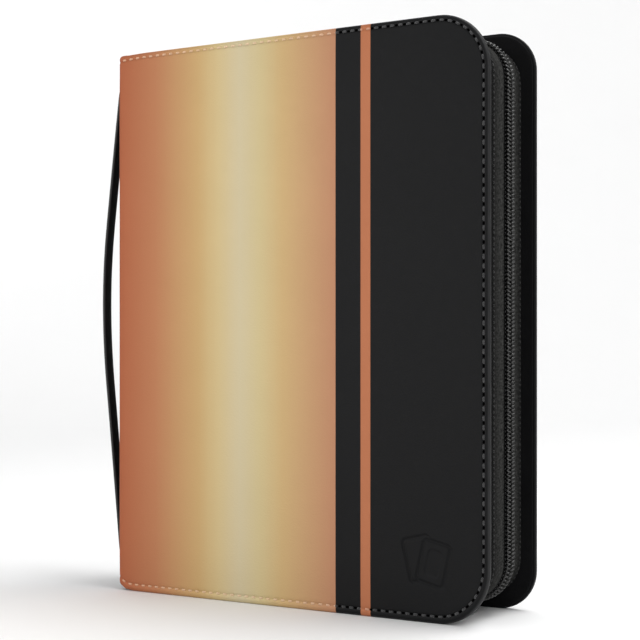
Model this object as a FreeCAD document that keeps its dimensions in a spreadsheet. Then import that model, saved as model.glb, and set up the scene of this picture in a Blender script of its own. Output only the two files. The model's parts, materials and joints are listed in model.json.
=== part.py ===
import FreeCAD, Part
import math
import os

import Sketcher
from FreeCAD import Placement, Rotation, Vector

# A zip-round ring binder for trading cards, closed and standing on its lower edge.
# +X runs from the spine to the fore edge, +Y from the front cover to the back cover, +Z up.
# The origin is the middle of the underside of everything, the carry strap included.

DIMENSIONS = [
    # the closed case
    ("case_height", 345.0),
    ("cover_width", 262.0),  # outside of the spine to the fore edge
    ("case_depth", 70.0),
    ("corner_radius", 32.0),  # the front cover's two rounded corners, and the zip's
    ("back_corner_radius", 24.0),
    ("skin_thickness", 1.0),
    ("board_thickness", 3.2),
    ("lining_thickness", 0.8),
    ("lining_margin", 1.5),
    # printed foil on the front cover, measured from the outside of the spine
    ("foil_sheet", 0.3),
    ("foil_edge", 162.5),
    ("stripe_start", 179.5),
    ("stripe_end", 186.0),
    # folds between the spine and the covers
    ("fold_inset", 2.5),  # fold line to either outer face
    ("fold_gap", 5.5),  # fold line to the edge of either board
    ("fold_flap", 4.6),  # how far the fold's skin runs beside the cover
    ("fold_skin", 1.2),
    # zip round three sides
    ("gusset_inset", 7.5),
    ("gusset_cloth", 1.0),
    ("gusset_start", 14.5),
    ("gusset_seam", 26.0),
    ("tape_cloth", 0.7),
    ("tape_lap", 4.0),
    ("chain_setback", 46.0),  # front face to the middle of the zip's chain
    ("chain_split", 1.2),
    ("coil_width", 3.8),
    ("coil_rise", 2.4),
    ("coil_start", 18.0),
    ("stop_length", 1.6),
    ("stop_width", 2.0),
    ("stop_rise", 2.0),
    ("web_start", 5.0),
    ("web_reach", 8.5),
    ("web_margin", 6.0),
    # zip slider and pull
    ("slider_start", 15.0),
    ("slider_length", 14.0),
    ("slider_width", 12.8),
    ("slider_plate", 1.2),
    ("slider_play", 0.25),
    ("slider_lip", 1.8),
    ("post_length", 3.0),
    ("post_width", 0.9),
    ("crown_length", 7.0),
    ("crown_width", 3.0),
    ("crown_rise", 3.2),
    ("crown_bore", 0.98),
    ("pull_pin", 0.9),
    ("pull_gap", 0.6),
    ("pull_arm", 1.6),
    ("pull_sheet", 1.4),
    ("pull_length", 32.0),
    ("pull_width", 9.0),
    ("pull_slot", 5.2),
    # carry strap on the spine
    ("strap_width", 7.5),
    ("strap_sheet", 2.2),
    ("strap_setback", 9.0),
    ("strap_bow", 18.2),  # inner face of the strap to the spine, at the middle
    ("strap_half_span", 161.0),
    ("strap_tail", 9.0),
    ("strap_crown_half", 52.0),
    ("strap_ramp", 11.0),
    ("strap_ramp_rise", 4.4),
    # ring mechanism on the back cover
    ("ring_line", 22.5),  # outside of the spine to the middle of the rings
    ("ring_pitch", 108.0),
    ("ring_radius", 9.0),
    ("wire_radius", 1.9),
    ("ring_straight", 30.0),  # top of the straight sides, above the lining
    ("ring_split", 0.1),
    ("rail_half_width", 15.0),
    ("rail_rise", 7.5),
    ("rail_wall", 1.0),
    ("rail_length", 280.0),
    ("rail_foot", 0.2),
    ("rail_slot", 2.8),
    ("blade_reach", 10.9),
    ("blade_split", 0.3),
    ("blade_floor", 1.2),
    ("blade_sheet", 1.2),
    ("blade_setback", 6.6),
    ("rivet_setback", 40.0),
    ("rivet_shank", 2.2),
    ("rivet_clearance", 0.15),
    ("rivet_head", 4.5),
    ("rivet_head_rise", 1.4),
    ("rivet_foot", 5.5),
    ("rivet_foot_sheet", 0.8),
    ("rivet_notch", 3.3),
    ("lever_pivot", 4.0),  # end of the rail to the lever's pin
    ("lever_height", 2.9),
    ("lever_barrel", 2.2),
    ("lever_width", 11.0),
    ("lever_window", 13.0),
    ("lever_tab", 19.0),
    ("lever_sheet", 1.6),
    ("lever_slope", 35.0),
    ("lever_tongue", 3.6),
    ("tongue_width", 4.0),
    ("tongue_floor", 0.3),
    ("tongue_sheet", 0.65),
    ("pin_radius", 0.95),
    ("pin_bore", 1.0),
    ("pin_half_length", 12.0),
    # nine-pocket pages
    ("page_height", 284.0),
    ("pocket_sheet_width", 202.0),
    ("pocket_sheet", 1.2),
    ("strip_sheet", 0.5),
    ("strip_margin", 8.0),  # punched holes to the strip's free edge
    ("strip_width", 24.5),
    ("punch_half_height", 3.6),
    ("punch_rounding", 3.4),
    ("punch_reach", 6.4),  # towards the pockets, so that an open ring still passes
    ("page_floor", 9.2),
    ("page_pitch", 1.5),
]
TURNING_PAGES = 6
RESTING_PAGES = 6
XY, XZ, YZ = "XY_Plane", "XZ_Plane", "YZ_Plane"


class Size:
    """A length that knows both its value and the spreadsheet formula behind it."""

    def __init__(self, value, text):
        self.value = value
        self.text = text

    def _joined(self, other, sign, value):
        return Size(value, f"({self.text} {sign} {size(other).text})")

    def __add__(self, other):
        return self._joined(other, "+", self.value + size(other).value)

    def __sub__(self, other):
        return self._joined(other, "-", self.value - size(other).value)

    def __mul__(self, other):
        return self._joined(other, "*", self.value * size(other).value)

    def __truediv__(self, other):
        return self._joined(other, "/", self.value / size(other).value)

    def __rsub__(self, other):
        return size(other) - self

    def __neg__(self):
        return Size(-self.value, f"(-1 * {self.text})")


def size(number):
    return number if isinstance(number, Size) else Size(float(number), repr(float(number)))


doc = FreeCAD.newDocument("card_binder")
sheet = doc.addObject("Spreadsheet::Sheet", "Dimensions")
for row, (alias, value) in enumerate(DIMENSIONS, start=1):
    sheet.set(f"A{row}", alias)
    sheet.set(f"B{row}", str(value))
    sheet.setAlias(f"B{row}", alias)
doc.recompute()
D = {alias: Size(value, f"Dimensions.{alias}") for alias, value in DIMENSIONS}
ZERO = size(0)

COVER = D["skin_thickness"] + D["board_thickness"] + D["lining_thickness"]
STRAP_OUT = D["strap_bow"] + D["strap_sheet"]
SPINE_X = (STRAP_OUT - D["cover_width"]) / 2  # outside face of the spine
FRONT_Y = -D["case_depth"] / 2
BACK_Y = D["case_depth"] / 2
PANEL_START = D["fold_inset"] + D["fold_gap"]
TAPE_INSET = D["gusset_inset"] + D["gusset_cloth"]
MIDDLE_Z = D["case_height"] / 2
RING_X = SPINE_X + D["ring_line"]
FLOOR_Y = BACK_Y - COVER  # the back lining's face, which heights inside are measured from
RAIL_Z = MIDDLE_Z - D["rail_length"] / 2
PAGE_Z = MIDDLE_Z - D["page_height"] / 2


def bind(thing, prop, length):
    thing.setExpression(prop, length.text)


def place(thing, x=ZERO, y=ZERO, z=ZERO, turn=None):
    """Puts a sub-part at a point given as formulas, turned about its own origin."""
    turn = turn or Rotation()
    thing.Placement = Placement(Vector(size(x).value, size(y).value, size(z).value), turn)
    for axis, length in zip("xyz", (x, y, z)):
        bind(thing, f"Placement.Base.{axis}", size(length))
    return thing


# ---------------------------------------------------------------- sketches and bodies


def new_body(label):
    body = doc.addObject("PartDesign::Body", label)
    body.Label = label
    return body


def new_sketch(body, plane, offset=None):
    sketch = body.newObject("Sketcher::SketchObject", body.Name + "_sketch")
    origin_plane = next(f for f in body.Origin.OriginFeatures if f.Role == plane)
    sketch.AttachmentSupport = [(origin_plane, "")]
    sketch.MapMode = "FlatFace"
    if offset is not None:
        sketch.AttachmentOffset = Placement(Vector(0, 0, offset.value), Rotation())
        bind(sketch, "AttachmentOffset.Base.z", offset)
    return sketch


def distance(sketch, kind, geometry, point, length):
    """Ties one coordinate of a point to a formula, measured from the sketch's origin."""
    if abs(length.value) < 1e-9:
        axis = -2 if kind == "DistanceX" else -1
        sketch.addConstraint(Sketcher.Constraint("PointOnObject", geometry, point, axis))
        return
    if length.value > 0:
        ends, text = (-1, 1, geometry, point), length.text
    else:
        ends, text = (geometry, point, -1, 1), (-length).text
    index = sketch.addConstraint(Sketcher.Constraint(kind, *ends, abs(length.value)))
    sketch.setExpression(f"Constraints[{index}]", text)


def outline(sketch, corners):
    """A closed outline of level and upright edges; a corner with a third entry is rounded."""
    count = len(corners)
    at = [Vector(size(c[0]).value, size(c[1]).value, 0) for c in corners]
    radius = [c[2] if len(c) > 2 else None for c in corners]
    along = [(at[(i + 1) % count] - at[i]).normalize() for i in range(count)]
    leave = [at[i] + along[i] * (radius[i].value if radius[i] else 0) for i in range(count)]
    enter = [at[i] - along[i - 1] * (radius[i].value if radius[i] else 0) for i in range(count)]
    lines = [
        sketch.addGeometry(Part.LineSegment(leave[i], enter[(i + 1) % count]), False)
        for i in range(count)
    ]
    for i, line in enumerate(lines):
        level = abs(along[i].y) < 1e-9
        sketch.addConstraint(Sketcher.Constraint("Horizontal" if level else "Vertical", line))
        kind, value = ("DistanceY", corners[i][1]) if level else ("DistanceX", corners[i][0])
        distance(sketch, kind, line, 1, size(value))
    for i, line in enumerate(lines):
        before = lines[i - 1]
        if radius[i] is None:
            sketch.addConstraint(Sketcher.Constraint("Coincident", before, 2, line, 1))
            continue
        centre = enter[i] + along[i] * radius[i].value
        circle = Part.Circle(centre, Vector(0, 0, 1), radius[i].value)
        left_turn = along[i - 1].cross(along[i]).z > 0
        first, last = (enter[i], leave[i]) if left_turn else (leave[i], enter[i])
        start = math.atan2(first.y - centre.y, first.x - centre.x)
        end = math.atan2(last.y - centre.y, last.x - centre.x)
        arc = sketch.addGeometry(Part.ArcOfCircle(circle, start, end), False)
        arc_in, arc_out = (1, 2) if left_turn else (2, 1)
        sketch.addConstraint(Sketcher.Constraint("Tangent", before, 2, arc, arc_in))
        sketch.addConstraint(Sketcher.Constraint("Tangent", arc, arc_out, line, 1))
        index = sketch.addConstraint(Sketcher.Constraint("Radius", arc, radius[i].value))
        sketch.setExpression(f"Constraints[{index}]", radius[i].text)


def circle(sketch, x, y, radius):
    x, y, radius = size(x), size(y), size(radius)
    centre = Vector(x.value, y.value, 0)
    index = sketch.addGeometry(Part.Circle(centre, Vector(0, 0, 1), radius.value), False)
    distance(sketch, "DistanceX", index, 3, x)
    distance(sketch, "DistanceY", index, 3, y)
    tie = sketch.addConstraint(Sketcher.Constraint("Radius", index, radius.value))
    sketch.setExpression(f"Constraints[{tie}]", radius.text)


def pad(body, sketch, length, backwards=False):
    feature = body.newObject("PartDesign::Pad", body.Name + "_pad")
    feature.Profile = sketch
    feature.Length = length.value
    feature.Reversed = backwards
    bind(feature, "Length", length)
    sketch.Visibility = False
    return feature


def pocket(body, sketch, length, backwards=False):
    """Cuts a sketch into the body, and checks that it removed material."""
    doc.recompute()
    before = body.Shape.Volume
    feature = body.newObject("PartDesign::Pocket", body.Name + "_pocket")
    feature.Profile = sketch
    feature.Length = length.value
    feature.Reversed = backwards
    bind(feature, "Length", length)
    doc.recompute()
    if body.Shape.Volume > before - 0.01:
        raise RuntimeError(f"a pocket in {body.Label} cut nothing")
    return feature


# ---------------------------------------------------------------- primitives and booleans


def box(label, x, y, z, length, width, height, turn=None):
    block = doc.addObject("Part::Box", label)
    block.Label = label
    for prop, value in (("Length", length), ("Width", width), ("Height", height)):
        setattr(block, prop, size(value).value)
        bind(block, prop, size(value))
    return place(block, x, y, z, turn)


def rod(label, x, y, z, radius, length, along):
    """A cylinder from a point along +X, +Y, -Y or +Z."""
    turns = {
        "x": Rotation(Vector(0, 0, 1), Vector(1, 0, 0)),
        "y": Rotation(Vector(0, 0, 1), Vector(0, 1, 0)),
        "-y": Rotation(Vector(0, 0, 1), Vector(0, -1, 0)),
        "z": Rotation(),
    }
    bar = doc.addObject("Part::Cylinder", label)
    bar.Label = label
    for prop, value in (("Radius", radius), ("Height", length)):
        setattr(bar, prop, size(value).value)
        bind(bar, prop, size(value))
    return place(bar, x, y, z, turns[along])


def fuse(label, pieces):
    whole = doc.addObject("Part::MultiFuse", label)
    whole.Label = label
    whole.Shapes = pieces
    return whole


def cut(label, base, tool):
    rest = doc.addObject("Part::Cut", label)
    rest.Label = label
    rest.Base = base
    rest.Tool = tool
    return rest


def group(label, pieces):
    """Several separate solids that share one node."""
    holder = doc.addObject("Part::Compound", label)
    holder.Label = label
    holder.Links = pieces
    return holder


PARTS = []


def part(thing):
    PARTS.append(thing)
    return thing


# ---------------------------------------------------------------- covers and spine


def cover_outline(inset, side):
    """A cover seen from the front, from its fold edge: two rounded corners at the fore edge."""
    width = D["cover_width"] - PANEL_START
    left, right = size(inset), width - inset
    low, high = size(inset), D["case_height"] - inset
    radius = D["corner_radius" if side == "front" else "back_corner_radius"] - inset
    return [(left, low), (right, low, radius), (right, high, radius), (left, high)]


def rivet_holes(sketch, radius):
    """Two holes for the ring mechanism's rivets, in a sketch that starts at the fold edge."""
    across = D["ring_line"] - PANEL_START
    for z in (RAIL_Z + D["rivet_setback"], RAIL_Z + D["rail_length"] - D["rivet_setback"]):
        circle(sketch, across, z, radius)


def foil(skin, label, left, right):
    """A printed film let into the front skin, flush with it, from edge to edge."""
    height = D["case_height"]
    film_outline = [(left, ZERO), (right, ZERO), (right, height), (left, height)]
    recess = new_sketch(skin, XZ)
    outline(recess, film_outline)
    pocket(skin, recess, D["foil_sheet"])
    film = place(new_body(label), SPINE_X + PANEL_START, FRONT_Y, ZERO)
    sketch = new_sketch(film, XZ)
    outline(sketch, film_outline)
    pad(film, sketch, D["foil_sheet"], True)
    part(film)


def cover(side, outer_y, inward, riveted):
    """A cover: a skin turned over the board's edges, the board, and the lining inside."""
    start_x = SPINE_X + PANEL_START
    tray_depth = D["skin_thickness"] + D["board_thickness"]
    toward = size(inward)

    skin = place(new_body(f"{side}_cover_skin"), start_x, outer_y, ZERO)
    sketch = new_sketch(skin, XZ)
    outline(sketch, cover_outline(ZERO, side))
    pad(skin, sketch, tray_depth, inward > 0)
    hollow = new_sketch(skin, XZ, -toward * tray_depth)
    outline(hollow, cover_outline(D["skin_thickness"], side))
    pocket(skin, hollow, D["board_thickness"], inward > 0)
    if side == "front":
        foil(skin, "foil_panel", ZERO, D["foil_edge"] - PANEL_START)
        foil(skin, "foil_stripe", D["stripe_start"] - PANEL_START, D["stripe_end"] - PANEL_START)
    part(skin)

    board_y = outer_y + toward * D["skin_thickness"]
    board = place(new_body(f"{side}_cover_board"), start_x, board_y, ZERO)
    sketch = new_sketch(board, XZ)
    outline(sketch, cover_outline(D["skin_thickness"], side))
    if riveted:
        rivet_holes(sketch, D["rivet_shank"] + D["rivet_clearance"])
    pad(board, sketch, D["board_thickness"], inward > 0)
    if riveted:
        recess = new_sketch(board, XZ)
        rivet_holes(recess, D["rivet_foot"] + D["rivet_clearance"])
        pocket(board, recess, D["rivet_foot_sheet"] + D["rivet_clearance"], inward < 0)
    part(board)

    lining = place(new_body(f"{side}_cover_lining"), start_x, outer_y + toward * tray_depth, ZERO)
    sketch = new_sketch(lining, XZ)
    outline(sketch, cover_outline(D["lining_margin"], side))
    if riveted:
        rivet_holes(sketch, D["rivet_shank"] + D["rivet_clearance"])
    pad(lining, sketch, D["lining_thickness"], inward > 0)
    part(lining)


def spine_outline(inset):
    width = D["case_depth"] - PANEL_START * 2
    low, high = size(inset), D["case_height"] - inset
    return [(inset, low), (width - inset, low), (width - inset, high), (inset, high)]


def spine():
    start_y = FRONT_Y + PANEL_START
    tray_depth = D["skin_thickness"] + D["board_thickness"]
    skin = place(new_body("spine_skin"), SPINE_X, start_y, ZERO)
    sketch = new_sketch(skin, YZ)
    outline(sketch, spine_outline(ZERO))
    pad(skin, sketch, tray_depth)
    hollow = new_sketch(skin, YZ, tray_depth)
    outline(hollow, spine_outline(D["skin_thickness"]))
    pocket(skin, hollow, D["board_thickness"])
    part(skin)

    board = place(new_body("spine_board"), SPINE_X + D["skin_thickness"], start_y, ZERO)
    sketch = new_sketch(board, YZ)
    outline(sketch, spine_outline(D["skin_thickness"]))
    pad(board, sketch, D["board_thickness"])
    part(board)

    lining = place(new_body("spine_lining"), SPINE_X + tray_depth, start_y, ZERO)
    sketch = new_sketch(lining, YZ)
    outline(sketch, spine_outline(D["lining_margin"]))
    pad(lining, sketch, D["lining_thickness"])
    part(lining)


def fold(label, outer_y, turn, leg_x, leg_y):
    """The skin that wraps a fold: a rounded corner round the fold line."""
    strip = place(new_body(label), SPINE_X, outer_y, ZERO, turn)
    sketch = new_sketch(strip, XY)
    sheet_in = D["fold_skin"]
    corners = [
        (ZERO, leg_y),
        (ZERO, ZERO, D["fold_inset"]),
        (leg_x, ZERO),
        (leg_x, sheet_in),
        (sheet_in, sheet_in, D["fold_inset"] - sheet_in),
        (sheet_in, leg_y),
    ]
    outline(sketch, corners)
    pad(strip, sketch, D["case_height"])
    part(strip)


def spine_web(label, z):
    """The end of the gusset that is sewn to the spine, between the two zip tapes."""
    depth = D["case_depth"] - D["web_margin"] * 2
    part(
        box(
            label,
            SPINE_X + D["web_start"],
            FRONT_Y + D["web_margin"],
            z,
            D["web_reach"],
            depth,
            D["gusset_cloth"],
        )
    )


# ---------------------------------------------------------------- zip


def band(label, start, inset, thickness, near, far):
    """A strip that runs round three sides: up from the spine, round the fore edge and back."""
    body = place(new_body(label), SPINE_X, FRONT_Y + near, ZERO)
    outer_right = D["cover_width"] - inset
    inner_right = outer_right - thickness
    outer_low, outer_high = inset, D["case_height"] - inset
    inner_low, inner_high = outer_low + thickness, outer_high - thickness
    outer_radius = D["corner_radius"] - inset
    inner_radius = outer_radius - thickness
    sketch = new_sketch(body, XZ)
    corners = [
        (start, outer_low),
        (outer_right, outer_low, outer_radius),
        (outer_right, outer_high, outer_radius),
        (start, outer_high),
        (start, inner_high),
        (inner_right, inner_high, inner_radius),
        (inner_right, inner_low, inner_radius),
        (start, inner_low),
    ]
    outline(sketch, corners)
    pad(body, sketch, far - near, True)
    part(body)


def zip_stops(label, near):
    """The two metal stops of one zip tape, one at each end of its coil."""
    start = SPINE_X + D["coil_start"] - D["stop_length"] * 1.25
    heights = {
        "lower": TAPE_INSET - D["stop_rise"],
        "upper": D["case_height"] - TAPE_INSET,
    }
    stops = [
        box(
            f"{label}_{end}",
            start,
            FRONT_Y + near,
            z,
            D["stop_length"],
            D["stop_width"],
            D["stop_rise"],
        )
        for end, z in heights.items()
    ]
    part(group(label, stops))


def zip_parts():
    inside_front = COVER
    inside_back = D["case_depth"] - COVER
    split_front = D["chain_setback"] - D["chain_split"] / 2
    split_back = D["chain_setback"] + D["chain_split"] / 2
    start, tape = D["gusset_start"], D["tape_cloth"]
    lap = D["gusset_seam"] - D["tape_lap"]
    band("front_gusset", start, D["gusset_inset"], D["gusset_cloth"], inside_front, D["gusset_seam"])
    band("front_zip_tape", start, TAPE_INSET, tape, lap, split_front)
    band("back_zip_tape", start, TAPE_INSET, tape, split_back, inside_back)
    coil_inset = TAPE_INSET - D["coil_rise"]
    coil = (D["coil_start"], coil_inset, D["coil_rise"])
    band("front_zip_coil", *coil, split_front - D["coil_width"], split_front)
    band("back_zip_coil", *coil, split_back, split_back + D["coil_width"])
    zip_stops("front_zip_stops", split_front - D["stop_width"])
    zip_stops("back_zip_stops", split_back)


def zip_slider():
    """The slider near the spine on the upper edge, open towards the front tape."""
    x = SPINE_X + D["slider_start"]
    y = FRONT_Y + D["chain_setback"] - D["slider_width"] / 2
    chain_y = FRONT_Y + D["chain_setback"]
    coil_top = D["case_height"] - TAPE_INSET + D["coil_rise"]
    plate_low = coil_top + D["slider_play"]
    tape_low = D["case_height"] - TAPE_INSET - D["tape_cloth"]
    floor_high = tape_low - D["slider_play"]
    length, width, sheet_z = D["slider_length"], D["slider_width"], D["slider_plate"]
    top = box("slider_top", x, y, plate_low, length, width, sheet_z)
    bottom = box("slider_bottom", x, y, floor_high - sheet_z, length, width, sheet_z)
    post = box(
        "slider_post",
        x + D["slider_play"],
        chain_y - D["post_width"] / 2,
        floor_high,
        D["post_length"],
        D["post_width"],
        plate_low - floor_high,
    )
    lip_low = D["case_height"] - TAPE_INSET + D["slider_play"]
    lip = box(
        "slider_lip",
        x,
        y + width - D["slider_lip"],
        lip_low,
        length,
        D["slider_lip"],
        plate_low - lip_low,
    )
    crown_x = x + (length - D["crown_length"]) / 2
    crown = box(
        "slider_crown",
        crown_x,
        chain_y - D["crown_width"] / 2,
        plate_low + sheet_z,
        D["crown_length"],
        D["crown_width"],
        D["crown_rise"],
    )
    solid = fuse("slider_solid", [top, bottom, post, lip, crown])
    pin_x, pin_z = pull_pin_place()
    bore = rod(
        "slider_bore",
        pin_x,
        chain_y - D["crown_width"],
        pin_z,
        D["crown_bore"],
        D["crown_width"] * 2,
        "y",
    )
    part(cut("zip_slider", solid, bore))


def pull_pin_place():
    """X and Z of the pull's pivot in the slider's crown."""
    pin_x = SPINE_X + D["slider_start"] + D["slider_length"] / 2
    plate_top = (
        D["case_height"]
        - TAPE_INSET
        + D["coil_rise"]
        + D["slider_play"]
        + D["slider_plate"]
    )
    return pin_x, plate_top + D["crown_rise"] / 2


def zip_pull():
    """A flat tab on two arms that straddle the crown, lying over the chain."""
    pin_x, pin_z = pull_pin_place()
    chain_y = FRONT_Y + D["chain_setback"]
    arm_out = D["crown_width"] / 2 + D["pull_gap"] + D["pull_arm"]
    low = pin_z - D["pull_sheet"] / 2
    pin = rod("pull_pin", pin_x, chain_y - arm_out, pin_z, D["pull_pin"], arm_out * 2, "y")
    pieces = [pin]
    arm_length = D["crown_length"] / 2 + D["pull_gap"] + D["pull_arm"]
    for side, start in (("front", -arm_out), ("back", arm_out - D["pull_arm"])):
        arm_x = pin_x - D["pull_sheet"] / 2
        reach = arm_length + D["pull_sheet"] / 2
        pieces.append(
            box(
                f"pull_arm_{side}",
                arm_x,
                chain_y + start,
                low,
                reach,
                D["pull_arm"],
                D["pull_sheet"],
            )
        )
    tab_x = pin_x + arm_length - D["pull_arm"]
    tab_length = D["pull_length"] - arm_length
    tab_y = chain_y - D["pull_width"] / 2
    tab = box("pull_tab", tab_x, tab_y, low, tab_length, D["pull_width"], D["pull_sheet"])
    slot_x = tab_x + D["pull_arm"] * 2.5
    slot_y = chain_y - D["pull_slot"] / 2
    slot_length = tab_length - D["pull_arm"] * 4
    slot_z = low - D["pull_sheet"]
    slot = box(
        "pull_window", slot_x, slot_y, slot_z, slot_length, D["pull_slot"], D["pull_sheet"] * 3
    )
    solid = fuse("pull_solid", pieces + [tab])
    part(cut("zip_pull", solid, slot))


# ---------------------------------------------------------------- carry strap


def strap_face(stand_off):
    """The strap's side profile, bottom to top, as points (distance from spine, height)."""
    half, crown = D["strap_half_span"].value, D["strap_crown_half"].value
    ramp = half - D["strap_ramp"].value
    rise, bow = D["strap_ramp_rise"].value, D["strap_bow"].value
    # The crown's arc meets the straight flanks, whose slope follows from the bow.
    flank = ramp - crown
    slope = math.atan((bow - rise) / (flank + crown / 2))
    shoulder = rise + flank * math.tan(slope)
    ends = [(0, half + D["strap_tail"].value), (0, half), (rise, ramp), (shoulder, crown)]
    lower = [(d + stand_off, -z) for d, z in ends]
    upper = [(d + stand_off, z) for d, z in reversed(ends)]
    return lower, (bow + stand_off, 0.0), upper


def carry_strap():
    """A leather strap sewn flat to the spine at both ends and bowed out between them."""
    x0, z0 = SPINE_X.value, MIDDLE_Z.value

    def points(profile):
        return [Vector(x0 - d, 0, z0 + z) for d, z in profile]

    edges = []
    for stand_off in (0.0, D["strap_sheet"].value):
        lower, top, upper = strap_face(stand_off)
        low, high = points(lower), points(upper)
        edges += [Part.LineSegment(a, b).toShape() for a, b in zip(low, low[1:])]
        edges.append(Part.Arc(low[-1], points([top])[0], high[0]).toShape())
        edges += [Part.LineSegment(a, b).toShape() for a, b in zip(high, high[1:])]
        if stand_off == 0.0:
            inner_ends = (low[0], high[-1])
    for inner, outer in zip(inner_ends, (low[0], high[-1])):
        edges.append(Part.LineSegment(inner, outer).toShape())
    wire = Part.Wire(Part.__sortEdges__(edges))
    strap = doc.addObject("Part::Feature", "carry_strap")
    strap.Label = "carry_strap"
    strap.Shape = Part.Face(wire).extrude(Vector(0, D["strap_width"].value, 0))
    place(strap, ZERO, FRONT_Y + D["strap_setback"], ZERO)
    part(strap)


# ---------------------------------------------------------------- ring mechanism


def ring_heights():
    return [
        ("lower", MIDDLE_Z - D["ring_pitch"]),
        ("middle", MIDDLE_Z),
        ("upper", MIDDLE_Z + D["ring_pitch"]),
    ]


def rail():
    """The sprung steel cover of the mechanism: a shallow arch over the two blades."""
    half, rise = D["rail_half_width"], D["rail_rise"]
    radius = (half * half + rise * rise) / (rise * 2)
    axis_y = FLOOR_Y - rise + radius
    length = D["rail_length"]
    outer = rod("rail_outer", RING_X, axis_y, RAIL_Z, radius, length, "z")
    inner = rod("rail_inner", RING_X, axis_y, RAIL_Z, radius - D["rail_wall"], length, "z")
    tube = cut("rail_tube", outer, inner)
    keep = box(
        "rail_keep",
        RING_X - half,
        FLOOR_Y - rise * 2,
        RAIL_Z,
        half * 2,
        rise * 2 - D["rail_foot"],
        length,
    )
    arch = doc.addObject("Part::Common", "rail_arch")
    arch.Base, arch.Tool = tube, keep
    openings = []
    reach = rise * 2
    for name, z in ring_heights():
        for side in (-1, 1):
            x = RING_X + D["ring_radius"] * side
            openings.append(
                rod(f"slot_{name}_{side + 1}", x, FLOOR_Y, z, D["rail_slot"], reach, "-y")
            )
    hole = D["rivet_shank"] + D["rivet_clearance"]
    for end, z in mechanism_ends("rivet_setback"):
        openings.append(rod(f"rivet_hole_{end}", RING_X, FLOOR_Y, z, hole, reach, "-y"))
    for end, z in mechanism_ends("lever_pivot"):
        pin_y = FLOOR_Y - D["lever_height"]
        openings.append(
            rod(f"pin_hole_{end}", RING_X - half, pin_y, z, D["pin_bore"], half * 2, "x")
        )
        openings.append(lever_window(end, z))
    part(cut("ring_mechanism_cover", arch, fuse("rail_openings", openings)))


def mechanism_ends(setback):
    """The two places at a distance from the ends of the rail."""
    return [("lower", RAIL_Z + D[setback]), ("upper", RAIL_Z + D["rail_length"] - D[setback])]


def lever_window(end, pivot_z):
    """The rail's crest is cut away above each lever."""
    window = D["lever_window"]
    start = pivot_z - D["lever_pivot"] if end == "lower" else pivot_z - D["lever_barrel"]
    return box(
        f"lever_window_{end}",
        RING_X - window / 2,
        FLOOR_Y - D["rail_rise"] * 2,
        start,
        window,
        D["rail_rise"] * 2 - D["lever_height"],
        D["lever_pivot"] + D["lever_barrel"],
    )


def blade(side, name):
    """A steel blade with a rolled outer edge that its ring halves rock about."""
    reach, split = D["blade_reach"], D["blade_split"]
    x = RING_X + split if side > 0 else RING_X - reach
    plate = box(
        f"{name}_plate",
        x,
        FLOOR_Y - D["blade_floor"] - D["blade_sheet"],
        RAIL_Z + D["blade_setback"],
        reach - split,
        D["blade_sheet"],
        D["rail_length"] - D["blade_setback"] * 2,
    )
    edge_x = RING_X + reach * side
    edge_y = FLOOR_Y - D["blade_floor"] - D["blade_sheet"] / 2
    edge = rod(
        f"{name}_rolled_edge",
        edge_x,
        edge_y,
        RAIL_Z + D["blade_setback"],
        D["blade_sheet"] / 2,
        D["rail_length"] - D["blade_setback"] * 2,
        "z",
    )
    notches = [
        rod(f"{name}_notch_{end}", RING_X, FLOOR_Y, z, D["rivet_notch"], D["rail_rise"], "-y")
        for end, z in mechanism_ends("rivet_setback")
    ]
    sheet_metal = fuse(f"{name}_sheet", [plate, edge])
    part(cut(name, sheet_metal, fuse(f"{name}_notches", notches)))


def ring_half(label, side, z):
    """A ring half: wire straight up from its blade, then a quarter turn to the split."""
    base = D["blade_floor"] + D["blade_sheet"]
    rise = D["ring_straight"] - base
    bend = D["ring_radius"] - D["ring_split"]
    turn = Rotation(Vector(0, 0, 1), 180) if side > 0 else Rotation(Vector(1, 0, 0), 180)
    foot_x = RING_X + D["ring_radius"] * side
    body = place(new_body(label), foot_x, FLOOR_Y - base, z, turn)
    profile = new_sketch(body, XZ)
    circle(profile, ZERO, ZERO, D["wire_radius"])
    path = new_sketch(body, XY)
    top, centre = Vector(0, rise.value, 0), Vector(bend.value, rise.value, 0)
    line = path.addGeometry(Part.LineSegment(Vector(0, 0, 0), top), False)
    curve = Part.Circle(centre, Vector(0, 0, 1), bend.value)
    arc = path.addGeometry(Part.ArcOfCircle(curve, math.pi / 2, math.pi), False)
    path.addConstraint(Sketcher.Constraint("Coincident", line, 1, -1, 1))
    path.addConstraint(Sketcher.Constraint("Vertical", line))
    path.addConstraint(Sketcher.Constraint("Tangent", line, 2, arc, 2))
    distance(path, "DistanceY", line, 2, rise)
    distance(path, "DistanceX", arc, 3, bend)
    distance(path, "DistanceX", arc, 1, bend)
    pipe = body.newObject("PartDesign::AdditivePipe", body.Name + "_pipe")
    pipe.Profile = profile
    pipe.Spine = (path, ["Edge1", "Edge2"])
    part(body)


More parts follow.
